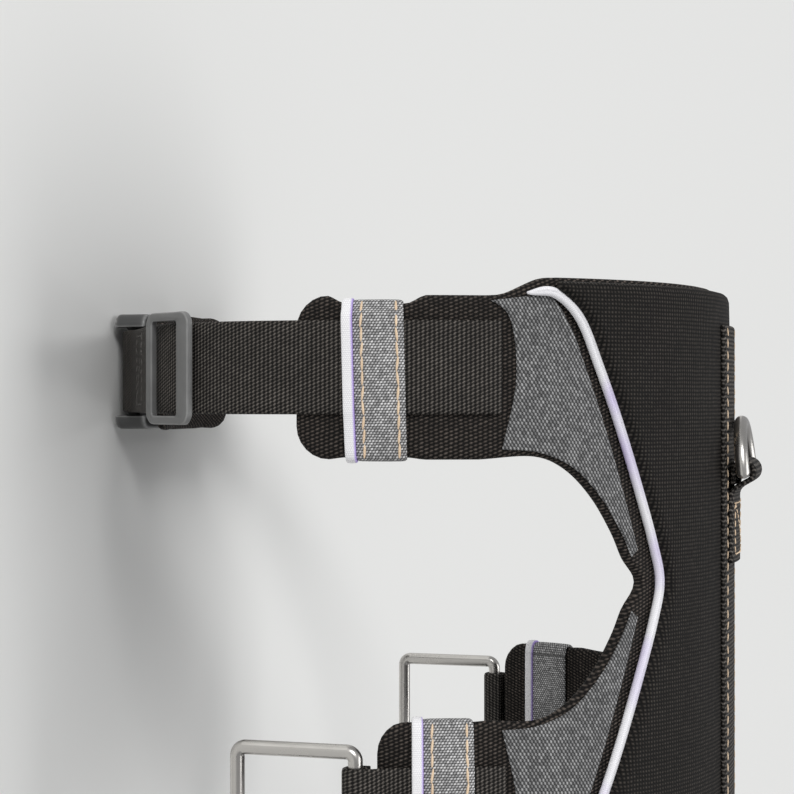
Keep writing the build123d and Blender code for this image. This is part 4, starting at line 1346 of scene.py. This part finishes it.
@dataclass
class GirthStraps:
    """Girth webbing, its inner return layer, its sliders and its sewn ends at the buckle."""

    buckle_z: float
    bar_y: float = 24.4
    bar_radius: float = 1.8
    root_u: float = 24.4
    loop: float = 20.0
    slider_at: float = 127.4
    centre_bar: float = 3.0
    sewn: float = 12.0
    seam: float = 2.5

    def track(self) -> Track:
        """Line of the right strap from the spine to the buckle's bar."""
        lower = TORSO.centres[2]
        leaves, straight = tangent_angle(lower, TORSO.radii[2] + LAYERS.middle, (-self.bar_y, self.buckle_z))
        last = (TORSO.radii[2] * radians(leaves - TORSO.ends[1]), TORSO.radii[2])
        return Track((0.0, TORSO.top_z), pi, [*TORSO_RUNS[:2], last, (straight, None)], in_yz)

    def build(self) -> None:
        """Makes both straps; the left one ends in a separate piece round the buckle's bar."""
        track = self.track()
        root = TORSO.reach_of(self.root_u, LAYERS.pad)
        centre = LAYERS.pad + LAYERS.web / 2
        turn = track.length - self.loop
        main = strap_path(track, root, turn, centre, 0.0)
        eye = eye_path(track, turn, self.bar_radius, 0.0, self.loop)
        size = LAYERS.web_width, LAYERS.web
        right = band("girth_strap_right", main[:-1] + eye, AHEAD, *size, WEBBING, root)
        finish_piece(right, "harness", "black_webbing", "girth_webbing_right", "girth_loop_right")
        left = self.left_only("girth_strap_left", main, root)
        finish_piece(left, "harness", "black_webbing", "girth_webbing_left")
        end = self.left_only("girth_eye_left", eye, turn)
        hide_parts("girth_loop_left")
        start, stop = track.at(turn, centre), track.at(turn + self.sewn, centre)
        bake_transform(end)
        first = TORSO.reach(self.slider_at) + self.centre_bar / 2 + LAYERS.gap
        below = LAYERS.middle - (LAYERS.web + LAYERS.gap) / 2
        path = strap_path(track, first, turn, below, 0.0)
        inner = band("girth_return_right", path, AHEAD, *size, WEBBING, first)
        ends = track.at(first, RETURN_HEIGHT), track.at(turn, RETURN_HEIGHT)
        finish_returns(inner, "girth", *ends, slider_first=True)
        top = LAYERS.web_top + 0.02
        box = box_row(turn - self.sewn, turn - 1, LAYERS.half_web - self.seam, 14)
        row = [track.at(s, top, x) for s, x in box]
        finish_pair(MACHINE.sew("girth_stitches_right", [row], EYE_STITCH), "black_webbing")

    def left_only(self, name: str, path: Sequence[Vector], first: float) -> bpy.types.Object:
        """Webbing on the dog's left, made from its right-hand path and the cloth-map length at its start."""
        half = band(name + "_half", path, AHEAD, LAYERS.web_width, LAYERS.web, WEBBING, first)
        left = mirrored(half, name)
        bpy.data.objects.remove(half)
        return left


@dataclass
class FrontStraps:
    """Shoulder webbing, square rings and the breast band in front of them."""

    arm_x: float = 120.0
    root_u: float = 25.4
    ring_room: float = 4.1
    ring_top_z: float = 0.0
    corner_radius: float = 56.0
    corner_end: float = 65.0
    straight: float = 10.0
    slider_at: float = 25.0
    pad_from: float = 52.0
    pad_height: float = 42.0
    pad_corner: float = 12.0
    sewn: float = 14.0
    eye_length: float = 12.0
    return_from: float = 5.6
    cloth_step: float = 1.4

    def __post_init__(self) -> None:
        """Works out the ring's place and the breast band's curve."""
        span = LAYERS.web_width + self.ring_room + LAYERS.wire
        self.z = self.ring_top_z - span / 2
        self.front_x = self.arm_x + span / 2
        centre = TORSO.centres[1]
        self.side_y = centre[0] - sqrt(TORSO.radii[1] ** 2 - (self.z - centre[1]) ** 2)
        self.ring_y = self.side_y - LAYERS.middle
        turned = radians(self.corner_end)
        front = (-self.side_y - self.corner_radius * (1 - cos(turned))) / cos(turned)
        corner = (self.corner_radius * turned, self.corner_radius)
        runs = [(self.straight, None), corner, (front * (pi / 2 - turned), front)]
        start = (self.front_x, self.side_y)
        self.curve = Track(start, 0.0, runs, lambda p, q, w: Vector((p, q, w + self.z)))
        self.front_radius = front

    def reach(self, angle: float) -> float:
        """Length along the breast band to the point that has turned this far."""
        return self.straight + self.corner_radius * radians(angle)

    def breast_at(self, s: float, w: float, h: float) -> Vector:
        """Point over the breast curve, with s counted from the middle of the breast."""
        spot = self.curve.at(self.curve.length - abs(s), h, w)
        if s > 0:
            spot.y = -spot.y
        return spot

    def build(self) -> None:
        """Makes everything in front of the front arms."""
        self.build_shoulders()
        self.build_side_straps()
        self.build_pad()

    def build_shoulders(self) -> None:
        """Makes the webbing from the front overlays to the square rings, and dresses the rings."""
        bar = (self.ring_y, self.ring_top_z)
        leaves, straight = tangent_angle(TORSO.centres[1], TORSO.radii[1] + LAYERS.middle, bar)
        flank = (TORSO.radii[1] * radians(leaves - TORSO.ends[0]), TORSO.radii[1])
        track = Track((0.0, TORSO.top_z), pi, [TORSO_RUNS[0], flank, (straight, None)], in_yz)
        root = TORSO.reach_of(self.root_u, LAYERS.pad)
        turn = track.length - self.eye_length
        path = strap_path(track, root, turn, LAYERS.pad + LAYERS.web / 2, self.arm_x)[:-1]
        path += eye_path(track, turn, LAYERS.wire / 2, self.arm_x, 4.0)
        strap = band("shoulder_strap_right", path, AHEAD, LAYERS.web_width, LAYERS.web, WEBBING, root)
        finish_pair(strap, "black_webbing", "shoulder_webbing")
        for side in ("right", "left"):
            dress_wire(f"square_ring_{side}")

    def build_side_straps(self) -> None:
        """Makes the straps from the square rings to the breast pad, with their return layers and sliders."""
        end = self.reach(self.pad_from) + self.sewn
        path = self.ring_eye() + strap_path(self.curve, EYE_LENGTH, end, LAYERS.pad + LAYERS.web / 2, 0.0)
        strap = band("breast_strap_side_right", path, UP, LAYERS.web_width, LAYERS.web, WEBBING)
        finish_pair(strap, "black_webbing", "breast_strap")
        first, last = self.return_from, self.reach(self.slider_at) - 1.7
        low = LAYERS.middle - (LAYERS.web + LAYERS.gap) / 2
        path = strap_path(self.curve, first, last, low, 0.0)
        inner = band("breast_return_right", path, UP, LAYERS.web_width, LAYERS.web, WEBBING)
        ends = self.curve.at(first, RETURN_HEIGHT), self.curve.at(last, RETURN_HEIGHT)
        finish_returns(inner, "breast", *ends, slider_first=False)

    def ring_eye(self) -> list[Vector]:
        """Webbing from the inner layer, round the square ring's front bar, to the outer layer."""
        wire = LAYERS.wire / 2

        def layer(s: float, side: int) -> Vector:
            """Point of the outer layer (side 1) or of the inner one (side -1)."""
            return self.curve.at(s, LAYERS.middle + side * eye_gap(1 - s / EYE_LENGTH, wire))

        inner = [layer(EYE_STEP * k, -1) for k in range(6, 0, -1)]
        centre, reach = self.curve.at(0.0, LAYERS.middle), eye_gap(1.0, wire) * MM
        bow = [centre - Vector((sin(pi * k / 12), cos(pi * k / 12), 0)) * reach for k in range(12, -1, -1)]
        return inner + bow + [layer(self.straight * (1 - k / 11), 1) for k in range(10, -1, -1)]

    def build_pad(self) -> None:
        """Makes the breast pad, its cover, its webbing and its two pipings."""
        half = self.curve.length - self.reach(self.pad_from)
        high = self.pad_height / 2
        outline = rounded_outline(half, high, self.pad_corner)
        thick = LAYERS.pad - 0.5
        pad = Panel("breast_pad", outline, self.breast_at, 0.15, thick, MESH, step=2.0, edge=1.7).build()
        inflate(pad, voxel=1.6, cap=0.5)
        set_cloth_map(pad, upright=True)
        finish_piece(pad, "harness", "mesh_liner", "breast_liner")
        end = half - self.sewn - LAYERS.gap
        outline = square_outline(end, high - LAYERS.piping - LAYERS.border)
        cover = Panel("breast_cover_cloth", outline, self.breast_at, LAYERS.pad - LAYERS.sink, LAYERS.overlay,
                      OXFORD, step=self.cloth_step, edge=0.5)
        finish_piece(cover.build(), "harness", "grey_weave", "breast_cover")
        low = LAYERS.pad + LAYERS.overlay - LAYERS.sink
        outline = square_outline(end + LAYERS.sink, LAYERS.half_web)
        strap = Panel("breast_strap_front", outline, self.breast_at, low, LAYERS.web, WEBBING,
                      step=self.cloth_step, edge=0.8)
        finish_piece(strap.build(), "harness", "black_webbing", "breast_webbing")
        seam = LAYERS.half_web - LAYERS.seam
        places = [-end + 2 + (2 * end - 4) * k / 80 for k in range(81)]
        rows = [[self.breast_at(s, w, low + LAYERS.web) for s in places] for w in (-seam, seam)]
        finish_piece(MACHINE.sew("breast_stitches", rows, EDGE_STITCH), "harness", "black_webbing")
        radius = LAYERS.piping / 2
        cord_height = LAYERS.pad + radius - 2 * LAYERS.sink
        for name, side in (("upper", 1), ("lower", -1)):
            w = side * (high - LAYERS.border - radius)
            path = [self.breast_at(end * (k / 60 - 1), w, cord_height) for k in range(121)]
            cord = tube(f"breast_piping_cord_{name}", path, radius, BEADED_CORD)
            finish_piece(cord, "harness", "reflective", f"breast_piping_{name}")


def set_cloth_map(piece: bpy.types.Object, upright: bool) -> None:
    """Gives a remeshed pad a cloth map again, from its own place.

    Args:
        piece: the pad.
        upright: whether the pad stands, as on the breast, or lies, as under the belly.
    """
    mesh = piece.data
    bend = 1.15
    layer = mesh.uv_layers.get("cloth") or mesh.uv_layers.new(name="cloth")
    for loop in mesh.loops:
        spot = mesh.vertices[loop.vertex_index].co / MM
        layer.data[loop.index].uv = (spot.y * bend, spot.z if upright else spot.x)


def dress_wire(node: str) -> None:
    """Gives a wire ring its plated finish."""
    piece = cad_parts[node]
    piece.data.materials.clear()
    piece.data.materials.append(WARDROBE.get(NICKEL))
    piece.data.shade_smooth()


@dataclass
class Buckle:
    """Side-release buckle under the belly, and the pad between it and the dog."""

    pad_half: float = 30.0
    pad_width: float = 38.0
    corner: float = 9.0

    def build(self) -> None:
        """Makes the buckle's moulded parts and its pad."""
        for node, body in (("buckle_female", "harness"), ("buckle_male", "buckle_male")):
            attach(moulded(node, ACETAL, voxel=0.4), body)
        prongs = moulded("buckle_prongs", ACETAL, voxel=0.35)
        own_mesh(prongs)
        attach(prongs, "buckle_male")
        outline = rounded_outline(self.pad_half, self.pad_width / 2, self.corner)

        def belly_at(s: float, w: float, h: float) -> Vector:
            """Point under the belly, with s counted from its middle."""
            spot = COAT.at(COAT.length - abs(s), h, w)
            if s > 0:
                spot.y = -spot.y
            return spot

        thick = LAYERS.pad - 0.6
        pad = Panel("buckle_pad_mesh", outline, belly_at, 0.25, thick, MESH, step=2.0, edge=1.6).build()
        inflate(pad, voxel=1.6, cap=0.25)
        set_cloth_map(pad, upright=False)
        finish_piece(pad, "harness", "mesh_liner", "buckle_pad")


@dataclass(frozen=True)
class RingBar:
    """Place of a ring's bar: its middle, the way to the loop's foot, the way out, and the cloth's radius."""

    middle: Vector
    along: Vector
    out: Vector
    radius: float

    def at(self, along: float, side: float, height: float) -> Vector:
        """Point in metres at distances in millimetres from the bar's middle."""
        return self.middle + (self.along * along + SIDEWAYS * side + self.out * height) * MM

    def settled(self, spot: Vector) -> Vector:
        """The point let down onto the curve of the cloth below, past the bar."""
        reach = (spot - self.middle).dot(self.along) / MM
        share = max(0.0, min(1.0, (reach - 2.5) / 4))
        return spot - self.out * (share * (spot.y / MM) ** 2 / (2 * self.radius) * MM)


@dataclass
class LeadRings:
    """The two D-rings and the webbing loops that hold them.

    Each loop starts under the bar, wraps it, leaves it at an angle of leave degrees and eases onto the layer
    below. Foot is how far past the bar it reaches.
    """

    breast_radius: float
    back_x: float = 30.0
    loop_half: float = 11.7
    foot: float = 27.0
    front_foot: float = 12.2
    leave: float = 60.0
    start: float = 3.8
    ease: float = 2.5
    seam: float = 2.6

    def loop_band(self, name: str, bar: RingBar, foot: float) -> bpy.types.Object:
        """Webbing that starts under a ring's bar, wraps it and comes down flat onto the layer below.

        Args:
            name: the piece's name.
            bar: place and directions of the ring's bar.
            foot: length of the foot in millimetres.
        Returns:
            The loop.
        """
        low = LAYERS.wire / 2 + LAYERS.gap + LAYERS.web / 2
        leave = radians(self.leave)
        line = [(self.start * (1 - k / 4), -low) for k in range(4)]
        line += [(-low * sin((pi + leave) * k / 20), -low * cos((pi + leave) * k / 20)) for k in range(21)]
        x, h = line[-1]
        meet = x + (h + low) / tan(leave)
        line += [(x + (meet - x) * t, h - (h + low) * t) for t in (0.25, 0.5)]
        x, h = line[-1]
        for k in range(1, 7):
            t = k / 6
            across = x * (1 - t) ** 2 + 2 * meet * t * (1 - t) + (meet + self.ease) * t**2
            line.append((across, h * (1 - t) ** 2 - low * (1 - (1 - t) ** 2)))
        flat = meet + self.ease
        line += [(flat + (foot - flat) * k / 12, -low) for k in range(1, 13)]
        path = [bar.at(a, 0.0, h) for a, h in line]
        loop = band(name, path, SIDEWAYS, 2 * self.loop_half, LAYERS.web, WEBBING)
        for vertex in loop.data.vertices:
            vertex.co = bar.settled(vertex.co)
        return loop

    def loop_stitches(self, name: str, bar: RingBar, near: float, far: float) -> None:
        """Sews a loop's foot down with a box and one diagonal.

        Args:
            name: the piece's name.
            bar: place and directions of the ring's bar.
            near: distance of the box's near side from the bar.
            far: distance of its far side.
        """
        low = -LAYERS.wire / 2 - LAYERS.gap + 0.03
        row = [bar.settled(bar.at(a, w, low)) for a, w in box_row(near, far, self.loop_half - self.seam, 12)]
        finish_piece(MACHINE.sew(name, [row], LOOP_STITCH), "harness", "black_webbing")

    def build(self) -> None:
        """Makes both loops and dresses both rings."""
        wire = LAYERS.wire / 2 * MM
        front_low, front_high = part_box("d_ring_front")
        top = TORSO.top_z + LAYERS.pad + LAYERS.core + 2 * LAYERS.web + LAYERS.gap
        back = RingBar(Vector((self.back_x * MM, 0, top * MM + wire)), AHEAD, UP, TORSO.radii[0])
        spot = Vector(((front_low.x + front_high.x) / 2, 0, front_high.z - wire))
        front = RingBar(spot, UP, AHEAD, self.breast_radius)
        loop = self.loop_band("back_ring_loop", back, self.foot)
        finish_piece(loop, "harness", "black_webbing", "d_ring_loop")
        loop = self.loop_band("front_ring_loop", front, self.front_foot)
        finish_piece(loop, "harness", "black_webbing", "breast_ring_loop")
        self.loop_stitches("back_loop_stitches", back, 9.5, self.foot - 2.4)
        self.loop_stitches("front_loop_stitches", front, 8.0, self.front_foot - 1.2)
        for node in ("d_ring_back", "d_ring_front"):
            dress_wire(node)


# ---------------------------------------------------------------- studio
@dataclass
class Studio:
    """Floor, lights and camera."""

    distance: float = 0.5
    span: float = 0.2123
    aim_u: float = -3.5
    aim_x: float = 8.0
    sensor: float = 36.0
    floor_half: float = 9.0

    def build(self) -> None:
        """Sets up the plain floor, the soft lights and the camera."""
        ny, nz = normal(TORSO.view)
        centre = TORSO.centres[1]
        out = Vector((0, ny, nz))
        right = Vector((0, nz, -ny))
        up = Vector((-1, 0, 0))
        crest = TORSO.radii[1] + LAYERS.web_top
        strap = Vector((self.aim_x, centre[0] + crest * ny, centre[1] + crest * nz))
        target = (strap + right * self.aim_u) * MM
        data = bpy.data.cameras.new("camera")
        data.sensor_width = self.sensor
        data.lens = self.sensor * self.distance / self.span
        data.clip_start = 0.01
        camera = placed("camera", data)
        basis = Matrix((right, up, out)).transposed().to_4x4()
        camera.matrix_world = Matrix.Translation(target + out * self.distance) @ basis
        bpy.context.scene.camera = camera
        self.lamp("key", out * 0.75 + up * 0.62 + right * 0.2, strength=1.5, spread=22.0)
        self.lamp("overhead", Vector((0.1, 0.1, 1.0)), strength=1.3, spread=50.0)
        world = bpy.data.worlds.new("studio")
        world.use_nodes = True
        world.node_tree.nodes["Background"].inputs[0].default_value = linear("#f1f2f4")
        world.node_tree.nodes["Background"].inputs[1].default_value = 0.45
        bpy.context.scene.world = world
        bpy.context.scene.view_settings.view_transform = "Standard"
        self.floor()

    def lamp(self, name: str, towards: Vector, strength: float, spread: float) -> None:
        """Adds one far, soft light that shines from a direction.

        Args:
            name: the light's name.
            towards: direction to the light.
            strength: its power.
            spread: its apparent width in degrees.
        """
        data = bpy.data.lights.new(name, "SUN")
        data.angle = radians(spread)
        data.energy = strength
        placed(name, data).rotation_euler = towards.to_track_quat("Z", "Y").to_euler()

    def floor(self) -> None:
        """Lays a wide pale floor under the buckle."""
        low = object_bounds()[0][2] - 1.5 * MM
        mesh = bpy.data.meshes.new("floor")
        corners = [(x, y, low) for x, y in square_outline(self.floor_half, self.floor_half)]
        mesh.from_pydata(corners, [], [(0, 1, 2, 3)])
        material = bpy.data.materials.new("pale_paper")
        material.use_nodes = True
        shader = material.node_tree.nodes["Principled BSDF"]
        shader.inputs["Base Color"].default_value = linear("#e6e6e4")
        shader.inputs["Roughness"].default_value = 0.9
        mesh.materials.append(material)
        placed("floor", mesh)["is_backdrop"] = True


def main() -> None:
    """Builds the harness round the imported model, in order."""
    logging.basicConfig(level=logging.INFO, format="%(name)s: %(message)s")
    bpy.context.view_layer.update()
    Studio().build()
    plate = BackPlate()
    plate.build()
    low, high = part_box("buckle_female")
    GirthStraps(buckle_z=(low.z + high.z) / 2 / MM).build()
    x0, x1 = plate.arm_x + plate.pinch[0], plate.arm_x + plate.arm_width - plate.pinch[1]
    twice = 2 * plate.middle_x
    Keeper("rear", plate.keeper_u[0], x0, x1, 0.0).build()
    Keeper("front", plate.keeper_u[1], twice - x1, twice - x0, twice, lean=0.0).build()
    straps = FrontStraps()
    straps.build()
    LeadRings(straps.front_radius).build()
    Buckle().build()
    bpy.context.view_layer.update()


if __name__ == "__main__":
    main()
